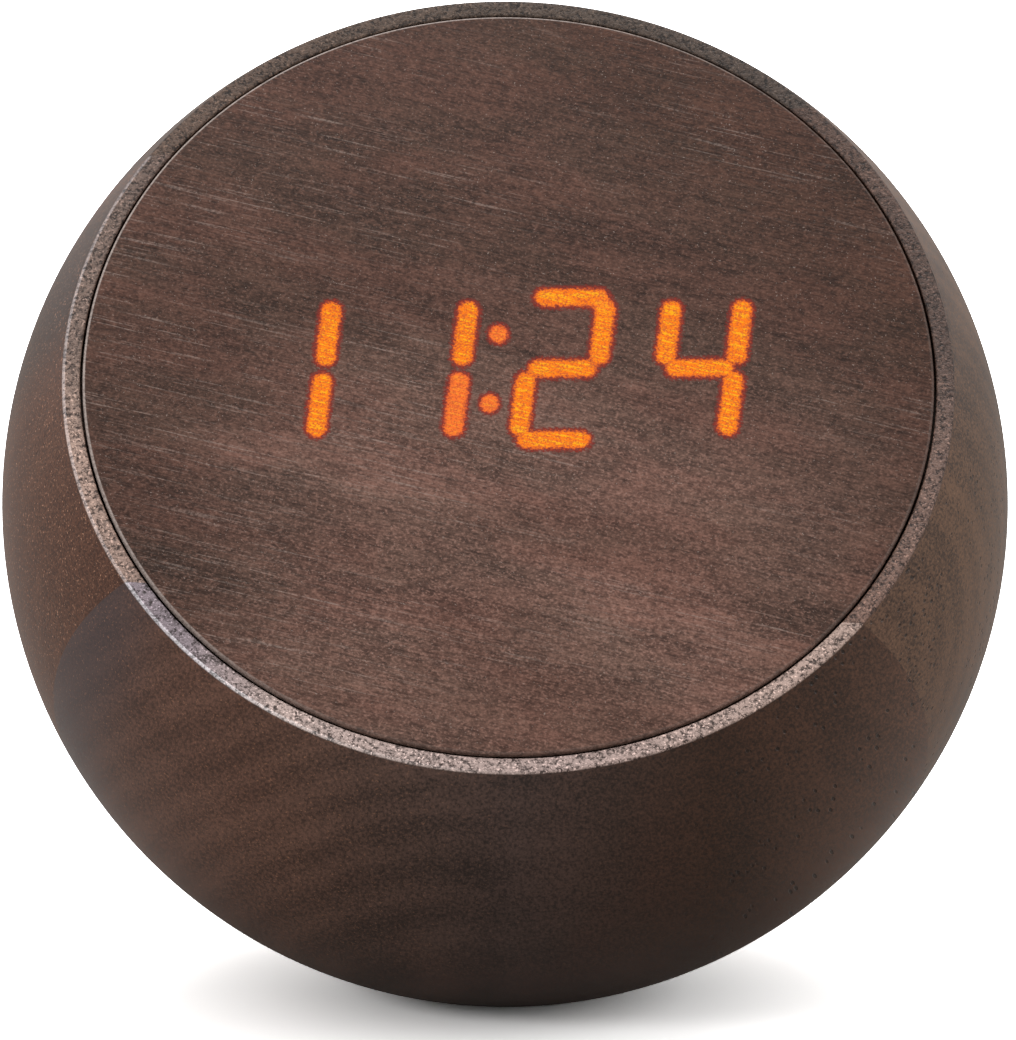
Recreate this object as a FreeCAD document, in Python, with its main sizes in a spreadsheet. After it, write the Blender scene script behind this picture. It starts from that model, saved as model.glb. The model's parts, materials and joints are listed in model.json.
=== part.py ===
"""Wooden ball clock: a laminated ball with a flat tilted face, lit digits and rear controls.

Millimetres. +Z is up, the face looks toward -Y, and the origin is the centre of the foot pad's
underside. Pieces behind the face are placed in the face frame (x across, y up the face, z out of
it) and pieces at the back in the rear frame (x to the right as seen from behind, y up, z out).
Both frames start at the centre of the ball.
"""
import FreeCAD, Part
import math
import os
import re

import Sketcher

V = FreeCAD.Vector
doc = FreeCAD.newDocument("ball_clock")
sheet = doc.addObject("Spreadsheet::Sheet", "Sizes")

SIZES = {
    # Ball, stance and foot
    "ball_radius": 45.0,
    "face_tilt": 42.0,
    "foot_radius": 8.0,
    "pad_inset": 1.0,
    "pad_thickness": 1.5,
    "pad_proud": 0.3,
    "pad_chamfer": 0.25,
    "flat_gap": 0.05,
    # Turned openings behind the face, as levels and radii in the face frame
    "rim_level": 21.3,
    "rim_width": 1.53,
    "seat_width": 3.0,
    "step_width": 6.0,
    "frame_level": 6.0,
    "well_depth": 26.0,
    # Glue seams of the three blocks, rolled a little off level
    "lower_seam": 22.4,
    "lower_seam_angle": 4.0,
    "upper_seam": 26.3,
    "upper_seam_angle": 4.6,
    # Face disc
    "face_gap": 0.35,
    "face_proud": 0.3,
    "veneer_thickness": 0.6,
    "veneer_round": 0.25,
    "backing_thickness": 2.4,
    # Digits
    "display_left": 1.25,
    "display_rise": 1.5,
    "digit_pitch": 12.2,
    "cell_width": 6.3,
    "cell_rise": 7.3,
    "slant_angle": 7.0,
    "segment_radius": 0.85,
    "bar_reach": 1.75,
    "post_reach": 1.95,
    "dot_radius": 0.95,
    "dot_rise": 3.55,
    "window_gap": 0.02,
    "diffuser_gap": 0.05,
    "reflector_gap": 0.1,
    # Display stack
    "reflector_length": 48.6,
    "reflector_width": 17.4,
    "reflector_height": 7.0,
    "led_length": 1.1,
    "led_width": 0.8,
    "led_height": 0.6,
    "display_length": 49.4,
    "display_width": 23.6,
    "display_thickness": 1.6,
    "display_screw_x": 22.0,
    "display_screw_y": 10.2,
    "driver_length": 9.0,
    "driver_width": 5.3,
    "driver_height": 1.0,
    "driver_left": 6.0,
    # Inner frame
    "frame_gap": 0.3,
    "frame_thickness": 2.2,
    "standoff_radius": 1.7,
    "frame_slot_length": 16.0,
    "frame_slot_width": 6.0,
    "frame_slot_rise": 20.5,
    "frame_window_length": 22.0,
    "frame_window_width": 7.0,
    "frame_window_drop": 20.0,
    # Battery
    "battery_length": 36.0,
    "battery_width": 28.0,
    "battery_height": 7.8,
    "battery_round": 1.6,
    "tape_length": 30.0,
    "tape_width": 22.0,
    "tape_thickness": 0.8,
    # Cast weight in the well
    "weight_gap": 0.2,
    "weight_chord": 16.5,
    "weight_height": 24.0,
    "weight_screw_x": 7.0,
    "weight_bore_depth": 14.0,
    # Rear opening and cover
    "back_radius": 24.0,
    "cover_inset": 0.17,
    "cover_thickness": 2.0,
    "back_land": 2.0,
    "cover_ledge": 4.0,
    "cover_gap": 0.2,
    "rear_bore_depth": 25.9,
    "boss_radius": 1.7,
    "boss_inset": 1.9,
    "boss_spread_angle": 140.0,
    "boss_pilot_depth": 4.2,
    # Control board
    "control_gap": 1.0,
    "control_thickness": 1.6,
    "control_drop": 5.7,
    # Push buttons and their switches
    "button_spacing": 9.3,
    "button_rise": 6.4,
    "button_radius": 3.9,
    "button_fit": 0.1,
    "button_proud": 1.0,
    "button_round": 0.4,
    "flange_radius": 4.5,
    "flange_play": 0.05,
    "switch_side": 6.0,
    "switch_height": 3.5,
    "plunger_radius": 1.75,
    "plunger_fit": 0.1,
    "plunger_proud": 0.9,
    "plunger_depth": 1.1,
    "plunger_room": 0.8,
    # Slide switch
    "slider_left": 9.3,
    "slider_drop": 4.6,
    "slider_length": 8.6,
    "slider_width": 4.0,
    "slider_height": 3.6,
    "lever_length": 2.8,
    "lever_width": 1.6,
    "lever_travel": 2.0,
    "lever_depth": 1.1,
    "lever_room": 0.2,
    "lever_end_fit": 0.2,
    "lever_side_fit": 0.1,
    # Charging socket
    "socket_drop": 11.5,
    "socket_length": 7.5,
    "socket_width": 2.55,
    "socket_wall": 0.3,
    "socket_height": 7.3,
    "socket_base": 1.2,
    "socket_fit": 0.2,
    "tongue_length": 3.7,
    "tongue_width": 0.6,
    "tongue_height": 4.6,
    # Small parts behind the cover
    "buzzer_x": 9.3,
    "buzzer_drop": 3.6,
    "buzzer_radius": 4.4,
    "buzzer_height": 4.8,
    "buzzer_port": 0.9,
    "buzzer_port_depth": 0.8,
    "sound_hole": 0.6,
    "sound_circle": 2.0,
    "microphone_drop": 4.4,
    "microphone_radius": 2.0,
    "microphone_height": 1.5,
    "microphone_hole": 0.7,
    "sensor_x": 6.0,
    "sensor_drop": 12.4,
    "sensor_radius": 0.9,
    "sensor_height": 2.4,
    "vent_length": 3.0,
    "vent_width": 0.7,
    "vent_pitch": 1.4,
    "lamp_x": 6.2,
    "lamp_drop": 12.4,
    "lamp_radius": 1.0,
    "lamp_fit": 0.1,
    "lamp_base": 1.5,
    "chip_side": 7.0,
    "chip_height": 0.9,
    "chip_rise": 0.5,
    "crystal_length": 8.0,
    "crystal_width": 3.2,
    "crystal_height": 3.2,
    "crystal_drop": 8.0,
    # Ribbon and battery leads
    "plug_length": 9.0,
    "plug_width": 2.6,
    "plug_height": 1.5,
    "plug_rise": 7.0,
    "ribbon_width": 6.5,
    "ribbon_thickness": 0.3,
    "ribbon_inset": 4.1,
    "ribbon_lead_in": 4.0,
    "ribbon_drop": 7.5,
    "outlet_length": 3.6,
    "outlet_width": 5.4,
    "outlet_height": 3.0,
    "outlet_x": 9.8,
    "outlet_rise": 1.0,
    "lead_radius": 0.5,
    "lead_spacing": 2.2,
    "lead_bow": 3.6,
    "lead_sweep": 12.0,
    # Screws: three kinds, each with its head and its shank in a tight hole
    "screw_start_angle": 45.0,
    "thread_gap": 0.02,
    "head_gap": 0.1,
    "fine_head_radius": 1.2,
    "fine_head_height": 0.8,
    "fine_radius": 0.7,
    "fine_length": 5.0,
    "wood_head_radius": 1.9,
    "wood_head_height": 1.4,
    "wood_radius": 1.1,
    "wood_length": 10.0,
    "cover_head_radius": 1.6,
    "cover_head_height": 0.9,
    "cover_shank_radius": 0.9,
    "cover_screw_length": 7.0,
    "weight_screw_length": 17.0,
    "recess_share": 0.6,
    "recess_slot": 0.4,
    "recess_depth": 0.4,
}

for row, (alias, number) in enumerate(SIZES.items(), 1):
    sheet.set(f"A{row}", alias)
    sheet.set(f"B{row}", str(number))
    sheet.setAlias(f"B{row}", alias)
doc.recompute()

NAMES = re.compile(r"\b(" + "|".join(SIZES) + r")\b")

# Levels worked out from the sizes above
CENTRE = "(sqrt(ball_radius^2 - foot_radius^2) + pad_proud)"
FACE_TOP = "(rim_level + face_proud)"
BACKING_TOP = "(rim_level + face_proud - veneer_thickness)"
FACE_SEAT = "(rim_level + face_proud - veneer_thickness - backing_thickness)"
RIM_RADIUS = "sqrt(ball_radius^2 - rim_level^2)"
REBATE_RADIUS = f"({RIM_RADIUS} - rim_width)"
BORE_RADIUS = f"({REBATE_RADIUS} - seat_width)"
WELL_RADIUS = f"({BORE_RADIUS} - step_width)"
FACE_RADIUS = f"({REBATE_RADIUS} - face_gap)"
PAD_RADIUS = "(foot_radius - pad_inset)"
RECESS_RADIUS = "(back_radius - back_land)"
REAR_BORE_RADIUS = f"({RECESS_RADIUS} - cover_ledge)"
CONTROL_RADIUS = f"({REAR_BORE_RADIUS} - control_gap)"
DISPLAY_TOP = f"({FACE_SEAT} - reflector_height)"
DISPLAY_BACK = f"({DISPLAY_TOP} - display_thickness)"
FRAME_TOP = "(frame_level + frame_thickness)"
WELL_FLOOR = "(frame_level - well_depth)"
WEIGHT_TOP = f"({WELL_FLOOR} + weight_height)"
BACK_LEVEL = "sqrt(ball_radius^2 - back_radius^2)"
COVER_TOP = f"({BACK_LEVEL} - cover_inset)"
COVER_SEAT = f"({BACK_LEVEL} - cover_inset - cover_thickness)"
CONTROL_TOP = f"({COVER_SEAT} - control_drop)"
CONTROL_BACK = f"({CONTROL_TOP} - control_thickness)"
SWITCH_TOP = f"({CONTROL_TOP} + switch_height)"
PLUNGER_TOP = f"({SWITCH_TOP} + plunger_proud)"
BUTTON_TOP = f"({COVER_TOP} + button_proud)"
FAR = "(2 * ball_radius)"

# Frames that the pieces are placed in
STILL = "rotation(vector(0; 0; 1); 0)"
WORLD = f"placement(vector(0; 0; 0); {STILL})"
FACE = f"placement(vector(0; 0; {CENTRE}); rotation(vector(1; 0; 0); 90 - face_tilt))"
REAR = f"placement(vector(0; 0; {CENTRE}); rotation(vector(0; 1; 1); 180))"


def sized(text):
    """Point every size name in an expression at its cell in the sheet."""
    return NAMES.sub(lambda found: "Sizes." + found.group(0), text)


def value(text):
    """Work out an expression in size names as a plain number."""
    result = sheet.evalExpression(sized(text))
    return float(getattr(result, "Value", result))


def bind(item, **links):
    """Tie properties to expressions in size names; a double underscore stands for a dot."""
    for name, text in links.items():
        item.setExpression(name.replace("__", "."), sized(text))
    return item


def place(item, frame, x="0", y="0", z="0"):
    """Set a piece at a point of one of the frames."""
    return bind(item, Placement=f"{frame} * placement(vector({x}; {y}; {z}); {STILL})")


def cylinder(name, frame, radius, bottom, top, x="0", y="0"):
    """A cylinder along its frame's z axis between two levels."""
    item = doc.addObject("Part::Cylinder", name)
    bind(item, Radius=radius, Height=f"({top}) - ({bottom})")
    return place(item, frame, x, y, bottom)


def block(name, frame, length, width, bottom, top, x="0", y="0"):
    """A box centred on x and y between two levels."""
    item = doc.addObject("Part::Box", name)
    bind(item, Length=length, Width=width, Height=f"({top}) - ({bottom})")
    return place(item, frame, f"({x}) - ({length}) / 2", f"({y}) - ({width}) / 2", bottom)


def joined(name, pieces):
    """Fuse pieces into one shape."""
    item = doc.addObject("Part::MultiFuse", name)
    item.Shapes = pieces
    return item


def cut(name, base, tools):
    """Take one or more tools away from a base."""
    item = doc.addObject("Part::Cut", name)
    item.Base = base
    item.Tool = tools[0] if len(tools) == 1 else joined(name + "_tools", tools)
    return item


def common(name, first, second):
    """Keep what two shapes share."""
    item = doc.addObject("Part::Common", name)
    item.Base = first
    item.Tool = second
    return item


def new_body(name, frame):
    """A body that stands in one of the frames."""
    return place(doc.addObject("PartDesign::Body", name), frame)


def origin_part(body, role):
    """One of a body's own origin planes or axes."""
    return next(part for part in body.Origin.OriginFeatures if part.Role == role)


def new_sketch(body, name, level="0", role="XY_Plane"):
    """A sketch on an origin plane of its body, lifted to a level."""
    drawing = body.newObject("Sketcher::SketchObject", name)
    drawing.AttachmentSupport = [(origin_part(body, role), "")]
    drawing.MapMode = "FlatFace"
    return bind(drawing, AttachmentOffset__Base__z=level)


def dimension(drawing, constraint, text):
    """Add a dimension to a sketch and tie it to an expression."""
    number = drawing.addConstraint(constraint)
    drawing.setExpression(f"Constraints[{number}]", sized(text))


def draw_circle(drawing, radius, x="0", y="0"):
    """Draw a circle with its radius and centre dimensioned."""
    shape = Part.Circle(V(value(x), value(y), 0), V(0, 0, 1), value(radius))
    edge = drawing.addGeometry(shape, False)
    dimension(drawing, Sketcher.Constraint("Radius", edge, value(radius)), radius)
    dimension(drawing, Sketcher.Constraint("DistanceX", -1, 1, edge, 3, value(x)), x)
    dimension(drawing, Sketcher.Constraint("DistanceY", -1, 1, edge, 3, value(y)), y)


def draw_box(drawing, length, width, x="0", y="0"):
    """Draw a rectangle about a point with its sides dimensioned."""
    across = value(length) / 2
    along = value(width) / 2
    corners = [(-across, -along), (across, -along), (across, along), (-across, along)]
    points = [V(value(x) + dx, value(y) + dy, 0) for dx, dy in corners]
    edges = [drawing.addGeometry(Part.LineSegment(points[i], points[(i + 1) % 4]), False)
             for i in range(4)]
    for i in range(4):
        drawing.addConstraint(Sketcher.Constraint("Coincident", edges[i], 2, edges[(i + 1) % 4], 1))
        drawing.addConstraint(Sketcher.Constraint(("Horizontal", "Vertical")[i % 2], edges[i]))
    bottom, right = edges[0], edges[1]
    dimension(drawing, Sketcher.Constraint("DistanceX", bottom, 1, bottom, 2, 2 * across), length)
    dimension(drawing, Sketcher.Constraint("DistanceY", right, 1, right, 2, 2 * along), width)
    left_text = f"({x}) - ({length}) / 2"
    low_text = f"({y}) - ({width}) / 2"
    dimension(drawing, Sketcher.Constraint("DistanceX", -1, 1, bottom, 1, value(left_text)), left_text)
    dimension(drawing, Sketcher.Constraint("DistanceY", -1, 1, bottom, 1, value(low_text)), low_text)


def draw_slot(drawing, start, end, radius):
    """Draw a slot with round ends between two points."""
    along = (end - start).normalize()
    side = V(-along.y, along.x, 0) * radius
    drawing.addGeometry(Part.LineSegment(start + side, end + side), False)
    drawing.addGeometry(Part.Arc(end + side, end + along * radius, end - side), False)
    drawing.addGeometry(Part.LineSegment(end - side, start - side), False)
    drawing.addGeometry(Part.Arc(start - side, start - along * radius, start + side), False)


def pad(body, name, drawing, length):
    """Raise a sketch into a solid along the body's z axis."""
    feature = body.newObject("PartDesign::Pad", name)
    feature.Profile = drawing
    bind(feature, Length=length)
    doc.recompute()
    return feature


def pocket(body, name, drawing, depth, upward=False):
    """Sink a sketch into the body, down from its plane or up from it."""
    before = body.Shape.Volume
    feature = body.newObject("PartDesign::Pocket", name)
    feature.Profile = drawing
    feature.Reversed = upward
    bind(feature, Length=depth)
    doc.recompute()
    if body.Shape.Volume >= before - 1e-6:
        raise ValueError(f"{name} cuts nothing")
    return feature


def round_top(body, name, feature, radius, size):
    """Round the outer edge of a disc's upper face."""
    top = feature.Shape.BoundBox.ZMax
    wanted = value(radius)
    names = [f"Edge{i}" for i, edge in enumerate(feature.Shape.Edges, 1)
             if abs(edge.BoundBox.ZMin - top) < 1e-4 and abs(edge.BoundBox.ZMax - top) < 1e-4
             and isinstance(edge.Curve, Part.Circle) and abs(edge.Curve.Radius - wanted) < 1e-4]
    rounded = body.newObject("PartDesign::Fillet", name)
    rounded.Base = (feature, names)
    bind(rounded, Radius=size)
    doc.recompute()
    return rounded


def on_circle(circle, angle):
    """The x and y expressions of a point at an angle on a circle."""
    return f"{circle} * cos({angle})", f"{circle} * sin({angle})"


def even_circle(circle, start, count):
    """The points of a ring that starts at an angle, evenly spaced."""
    return [on_circle(circle, f"({start} + 360 * {step} / {count})") for step in range(count)]


def screw_set(name, frame, points, kind, seat, length, downward=True):
    """Screws with a cross recess, head on one side of the seat level and shank on the other."""
    head_radius, head_height, radius = kind
    body = new_body(name, frame)
    head_level = seat if downward else f"({seat}) - {head_height}"
    shank_level = f"({seat}) - {length}" if downward else seat
    heads = new_sketch(body, name + "_heads", head_level)
    shanks = new_sketch(body, name + "_shanks", shank_level)
    outer = f"({seat}) + {head_height}" if downward else head_level
    crosses = new_sketch(body, name + "_crosses", outer)
    for x, y in points:
        draw_circle(heads, head_radius, x, y)
        draw_circle(shanks, radius, x, y)
        draw_cross(crosses, head_radius, x, y)
    pad(body, name + "_head_pad", heads, head_height)
    pad(body, name + "_shank_pad", shanks, length)
    pocket(body, name + "_recess", crosses, "recess_depth", upward=not downward)
    return body


def draw_cross(drawing, head_radius, x, y):
    """Draw the outline of a driver's cross, sized from the screw's head."""
    reach = value(f"{head_radius} * recess_share")
    half = value("recess_slot") / 2
    quarter = [(reach, -half), (reach, half), (half, half)]
    turned = []
    for turn in range(4):
        for px, py in quarter:
            for _ in range(turn):
                px, py = -py, px
            turned.append(V(value(x) + px, value(y) + py, 0))
    for i, point in enumerate(turned):
        drawing.addGeometry(Part.LineSegment(point, turned[(i + 1) % len(turned)]), False)


FINE = ("fine_head_radius", "fine_head_height", "fine_radius")
WOOD = ("wood_head_radius", "wood_head_height", "wood_radius")
COVER = ("cover_head_radius", "cover_head_height", "cover_shank_radius")

SCREW_COUNT = 4
SOUND_HOLE_COUNT = 5
FRAME_SCREWS = even_circle(f"({WELL_RADIUS} + step_width / 2)", "screw_start_angle", SCREW_COUNT)
COVER_SCREWS = even_circle(f"({REAR_BORE_RADIUS} + cover_ledge / 2)", "screw_start_angle", SCREW_COUNT)
BOSS_CIRCLE = f"({CONTROL_RADIUS} - boss_inset)"
RIBBON_RISE = f"({BOSS_CIRCLE} - ribbon_inset)"
BOSSES = [on_circle(BOSS_CIRCLE, angle)
          for angle in ("90", "(90 + boss_spread_angle)", "(90 - boss_spread_angle)")]
WEIGHT_DROP = f"(weight_chord + {WELL_RADIUS}) / 2"
WEIGHT_SCREWS = [("weight_screw_x", f"-{WEIGHT_DROP}"), ("-weight_screw_x", f"-{WEIGHT_DROP}")]
DISPLAY_SCREWS = [(f"(-display_left) + {sx} * display_screw_x", f"display_rise + {sy} * display_screw_y")
                  for sx in (-1, 1) for sy in (-1, 1)]
BUTTONS = {"down": "-button_spacing", "set": "0", "up": "button_spacing"}

# Share of the shorter run that an arc of a route takes up
RUN_SHARE = 0.45

# Bars of a digit: its middle in half cells, and whether it lies level
BARS = {"a": (0, 2, True), "b": (1, 1, False), "c": (1, -1, False), "d": (0, -2, True),
        "e": (-1, -1, False), "f": (-1, 1, False), "g": (0, 0, True)}
SHOWN = ("bc", "bc", "abged", "fgbc")
MIDDLE_PLACE = (len(SHOWN) - 1) / 2


def leaning(x, y):
    """A point of the display, moved across by the slant of the digits."""
    lean = math.tan(math.radians(value("slant_angle")))
    return V(x + y * lean - value("display_left"), y + value("display_rise"), 0)


def segments(lit=None):
    """The bars of the four digits as middle, half run and letter, all of them or by their light."""
    found = []
    for place_number, letters in enumerate(SHOWN):
        middle = (place_number - MIDDLE_PLACE) * value("digit_pitch")
        for letter, (column, line, level) in BARS.items():
            if lit is not None and (letter in letters) != lit:
                continue
            x = middle + column * value("cell_width") / 2
            y = line * value("cell_rise") / 2
            run = V(value("bar_reach"), 0, 0) if level else V(0, value("post_reach"), 0)
            found.append((V(x, y, 0), run))
    return found


def draw_segments(drawing, grow, lit=None):
    """Draw the bars as slots, and the two dots with the lit ones, each grown by a clearance."""
    for middle, run in segments(lit):
        start = leaning(middle.x - run.x, middle.y - run.y)
        end = leaning(middle.x + run.x, middle.y + run.y)
        draw_slot(drawing, start, end, value("segment_radius") + grow)
    if lit is not False:
        for side in (-1, 1):
            dot = leaning(0, side * value("dot_rise"))
            drawing.addGeometry(Part.Circle(dot, V(0, 0, 1), value("dot_radius") + grow), False)


def arc_route(points):
    """Straight runs joined by tangent arcs, each as large as its two runs allow."""
    edges = []
    start = points[0]
    for before, corner, after in zip(points, points[1:], points[2:]):
        back = before - corner
        onward = after - corner
        reach = RUN_SHARE * min(back.Length, onward.Length)
        back.normalize()
        onward.normalize()
        half = back.getAngle(onward) / 2
        centre = corner + (back + onward).normalize() * (reach / math.cos(half))
        middle = centre + (corner - centre).normalize() * (reach * math.tan(half))
        first = corner + back * reach
        last = corner + onward * reach
        edges.append(Part.LineSegment(start, first).toShape())
        edges.append(Part.Arc(first, middle, last).toShape())
        start = last
    edges.append(Part.LineSegment(start, points[-1]).toShape())
    return Part.Wire(edges)


def swept(name, points, profile, area):
    """Sweep a closed profile along a route and print how the volume compares with its length."""
    route = arc_route(points)
    item = doc.addObject("Part::Feature", name)
    item.Shape = route.makePipeShell([profile], True, False)
    item.Placement = FreeCAD.Placement()
    ratio = item.Shape.Volume / (area * route.Length)
    print(f"{name}: length {route.Length:.1f} mm, volume over section times length {ratio:.4f}")
    return item


def frame_point(frame, x, y, z):
    """A point of a frame in the part's own axes."""
    return sheet.evalExpression(sized(frame)).multVec(V(x, y, z))


# Ball: three glued blocks with the turned openings, the foot and the rear opening cut in
ball = doc.addObject("Part::Sphere", "ball")
bind(ball, Radius="ball_radius")
place(ball, WORLD, z=CENTRE)
openings = [
    block("face_flat", FACE, FAR, FAR, "rim_level", FAR),
    cylinder("rebate", FACE, REBATE_RADIUS, FACE_SEAT, FAR),
    cylinder("main_bore", FACE, BORE_RADIUS, "frame_level", FAR),
    cylinder("well", FACE, WELL_RADIUS, WELL_FLOOR, FAR),
    block("foot_flat", WORLD, FAR, FAR, f"-{FAR}", "pad_proud"),
    cylinder("foot_recess", WORLD, f"{PAD_RADIUS} + flat_gap", "0", "pad_thickness"),
    block("back_flat", REAR, FAR, FAR, BACK_LEVEL, FAR),
    cylinder("cover_recess", REAR, RECESS_RADIUS, COVER_SEAT, FAR),
    cylinder("rear_bore", REAR, REAR_BORE_RADIUS, f"{COVER_SEAT} - rear_bore_depth", FAR),
]
for number, (x, y) in enumerate(FRAME_SCREWS):
    openings.append(cylinder(f"frame_pilot_{number}", FACE, "wood_radius + thread_gap",
                             f"{FRAME_TOP} - wood_length", FAR, x, y))
for number, (x, y) in enumerate(WEIGHT_SCREWS):
    openings.append(cylinder(f"weight_pilot_{number}", FACE, "wood_radius + thread_gap",
                             f"{WEIGHT_TOP} - weight_bore_depth - weight_screw_length", FAR, x, y))
for number, (x, y) in enumerate(COVER_SCREWS):
    openings.append(cylinder(f"cover_pilot_{number}", REAR, "cover_shank_radius + thread_gap",
                             f"{COVER_TOP} - cover_head_height - cover_screw_length", FAR, x, y))
hollow_ball = cut("hollow_ball", ball, openings)

lower_side = doc.addObject("Part::Box", "lower_side")
upper_side = doc.addObject("Part::Box", "upper_side")
for side in (lower_side, upper_side):
    bind(side, Length=f"2 * {FAR}", Width=FAR, Height=f"2 * {FAR}")
bind(lower_side, Placement=f"{FACE} * placement(vector(0; -lower_seam; 0);"
     f" rotation(vector(0; 0; 1); -lower_seam_angle)) * placement(vector(-{FAR}; -{FAR}; -{FAR}); {STILL})")
bind(upper_side, Placement=f"{FACE} * placement(vector(0; upper_seam; 0);"
     f" rotation(vector(0; 0; 1); upper_seam_angle)) * placement(vector(-{FAR}; 0; -{FAR}); {STILL})")
shell_lower = common("shell_block_lower", hollow_ball, lower_side)
shell_upper = common("shell_block_upper", hollow_ball, upper_side)
shell_middle = cut("shell_block_middle", hollow_ball, [lower_side, upper_side])

# Foot pad in its recess
foot_disc = cylinder("foot_disc", WORLD, PAD_RADIUS, "0", "pad_thickness")
foot_cone = doc.addObject("Part::Cone", "foot_cone")
bind(foot_cone, Radius1=f"{PAD_RADIUS} - pad_chamfer",
     Radius2=f"{PAD_RADIUS} - pad_chamfer + pad_thickness", Height="pad_thickness")
place(foot_cone, WORLD)
foot_pad = common("foot_pad", foot_disc, foot_cone)

# Face: backing board and veneer, with a window for every bar of the digits
veneer = new_body("face_veneer", FACE)
disc = new_sketch(veneer, "veneer_disc", BACKING_TOP)
draw_circle(disc, FACE_RADIUS)
disc_pad = pad(veneer, "veneer_pad", disc, "veneer_thickness")
round_top(veneer, "veneer_edge", disc_pad, FACE_RADIUS, "veneer_round")
windows = new_sketch(veneer, "veneer_windows", FACE_TOP)
draw_segments(windows, value("window_gap"))
pocket(veneer, "veneer_cuts", windows, "veneer_thickness")

backing = new_body("face_board", FACE)
disc = new_sketch(backing, "backing_disc", FACE_SEAT)
draw_circle(disc, FACE_RADIUS)
pad(backing, "backing_pad", disc, "backing_thickness")
windows = new_sketch(backing, "backing_windows", BACKING_TOP)
draw_segments(windows, value("diffuser_gap"))
pocket(backing, "backing_cuts", windows, "backing_thickness")

for name, level, height, lit in (
        ("lit_segments", BACKING_TOP, "veneer_thickness", True),
        ("unlit_segments", BACKING_TOP, "veneer_thickness", False),
        ("segment_diffusers", FACE_SEAT, "backing_thickness", None)):
    body = new_body(name, FACE)
    bars = new_sketch(body, name + "_bars", level)
    draw_segments(bars, 0, lit)
    pad(body, name + "_pad", bars, height)

# Display stack: reflector with a well behind each bar, light dies and circuit board
reflector = new_body("display_reflector", FACE)
outline = new_sketch(reflector, "reflector_outline", DISPLAY_TOP)
draw_box(outline, "reflector_length", "reflector_width", "-display_left", "display_rise")
pad(reflector, "reflector_pad", outline, "reflector_height")
wells = new_sketch(reflector, "reflector_wells", FACE_SEAT)
draw_segments(wells, value("reflector_gap"))
pocket(reflector, "reflector_cuts", wells, "reflector_height")

leds = new_body("display_leds", FACE)
dies = new_sketch(leds, "led_dies", DISPLAY_TOP)
middles = [leaning(middle.x, middle.y) for middle, run in segments()]
middles += [leaning(0, side * value("dot_rise")) for side in (-1, 1)]
half_length = value("led_length") / 2
half_width = value("led_width") / 2
for middle in middles:
    corners = [middle + V(sx * half_width, sy * half_length, 0)
               for sx, sy in ((-1, -1), (1, -1), (1, 1), (-1, 1))]
    for i in range(4):
        dies.addGeometry(Part.LineSegment(corners[i], corners[(i + 1) % 4]), False)
pad(leds, "led_pad", dies, "led_height")

display = new_body("display_board", FACE)
outline = new_sketch(display, "display_outline", DISPLAY_BACK)
draw_box(outline, "display_length", "display_width", "-display_left", "display_rise")
pad(display, "display_pad", outline, "display_thickness")
holes = new_sketch(display, "display_holes", DISPLAY_TOP)
for x, y in DISPLAY_SCREWS:
    draw_circle(holes, "fine_radius + thread_gap", x, y)
pocket(display, "display_cuts", holes, "display_thickness")
screw_set("display_board_screws", FACE, DISPLAY_SCREWS, FINE, DISPLAY_TOP, "fine_length")
block("display_driver", FACE, "driver_length", "driver_width", f"{DISPLAY_BACK} - driver_height",
      DISPLAY_BACK, "-display_left - driver_left", "display_rise")

# Inner frame that carries the display, screwed to the step of the bore
frame = new_body("inner_frame", FACE)
plate = new_sketch(frame, "frame_plate", "frame_level")
draw_circle(plate, f"{BORE_RADIUS} - frame_gap")
draw_box(plate, "frame_slot_length", "frame_slot_width", "0", "frame_slot_rise")
draw_box(plate, "frame_window_length", "frame_window_width", "0", "-frame_window_drop")
pad(frame, "frame_pad", plate, "frame_thickness")
posts = new_sketch(frame, "frame_posts", "frame_level")
for x, y in DISPLAY_SCREWS:
    draw_circle(posts, "standoff_radius", x, y)
pad(frame, "frame_post_pad", posts, f"{DISPLAY_BACK} - frame_level")
holes = new_sketch(frame, "frame_post_holes", DISPLAY_BACK)
for x, y in DISPLAY_SCREWS:
    draw_circle(holes, "fine_radius + thread_gap", x, y)
pocket(frame, "frame_post_cuts", holes, "fine_length - display_thickness + thread_gap")
holes = new_sketch(frame, "frame_holes", FRAME_TOP)
for x, y in FRAME_SCREWS:
    draw_circle(holes, "wood_radius + thread_gap", x, y)
pocket(frame, "frame_cuts", holes, "frame_thickness")
screw_set("inner_frame_screws", FACE, FRAME_SCREWS, WOOD, FRAME_TOP, "wood_length")

# Battery taped to the back of the frame
tape = block("battery_tape", FACE, "tape_length", "tape_width", "frame_level - tape_thickness",
             "frame_level")
cell = new_body("battery_cell", FACE)
outline = new_sketch(cell, "battery_outline", "frame_level - tape_thickness - battery_height")
draw_box(outline, "battery_length", "battery_width")
cell_pad = pad(cell, "battery_pad_up", outline, "battery_height")
upright = [f"Edge{i}" for i, edge in enumerate(cell_pad.Shape.Edges, 1)
           if edge.BoundBox.ZLength > value("battery_height") / 2]
cell_round = cell.newObject("PartDesign::Fillet", "battery_corners")
cell_round.Base = (cell_pad, upright)
bind(cell_round, Radius="battery_round")
doc.recompute()

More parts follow.
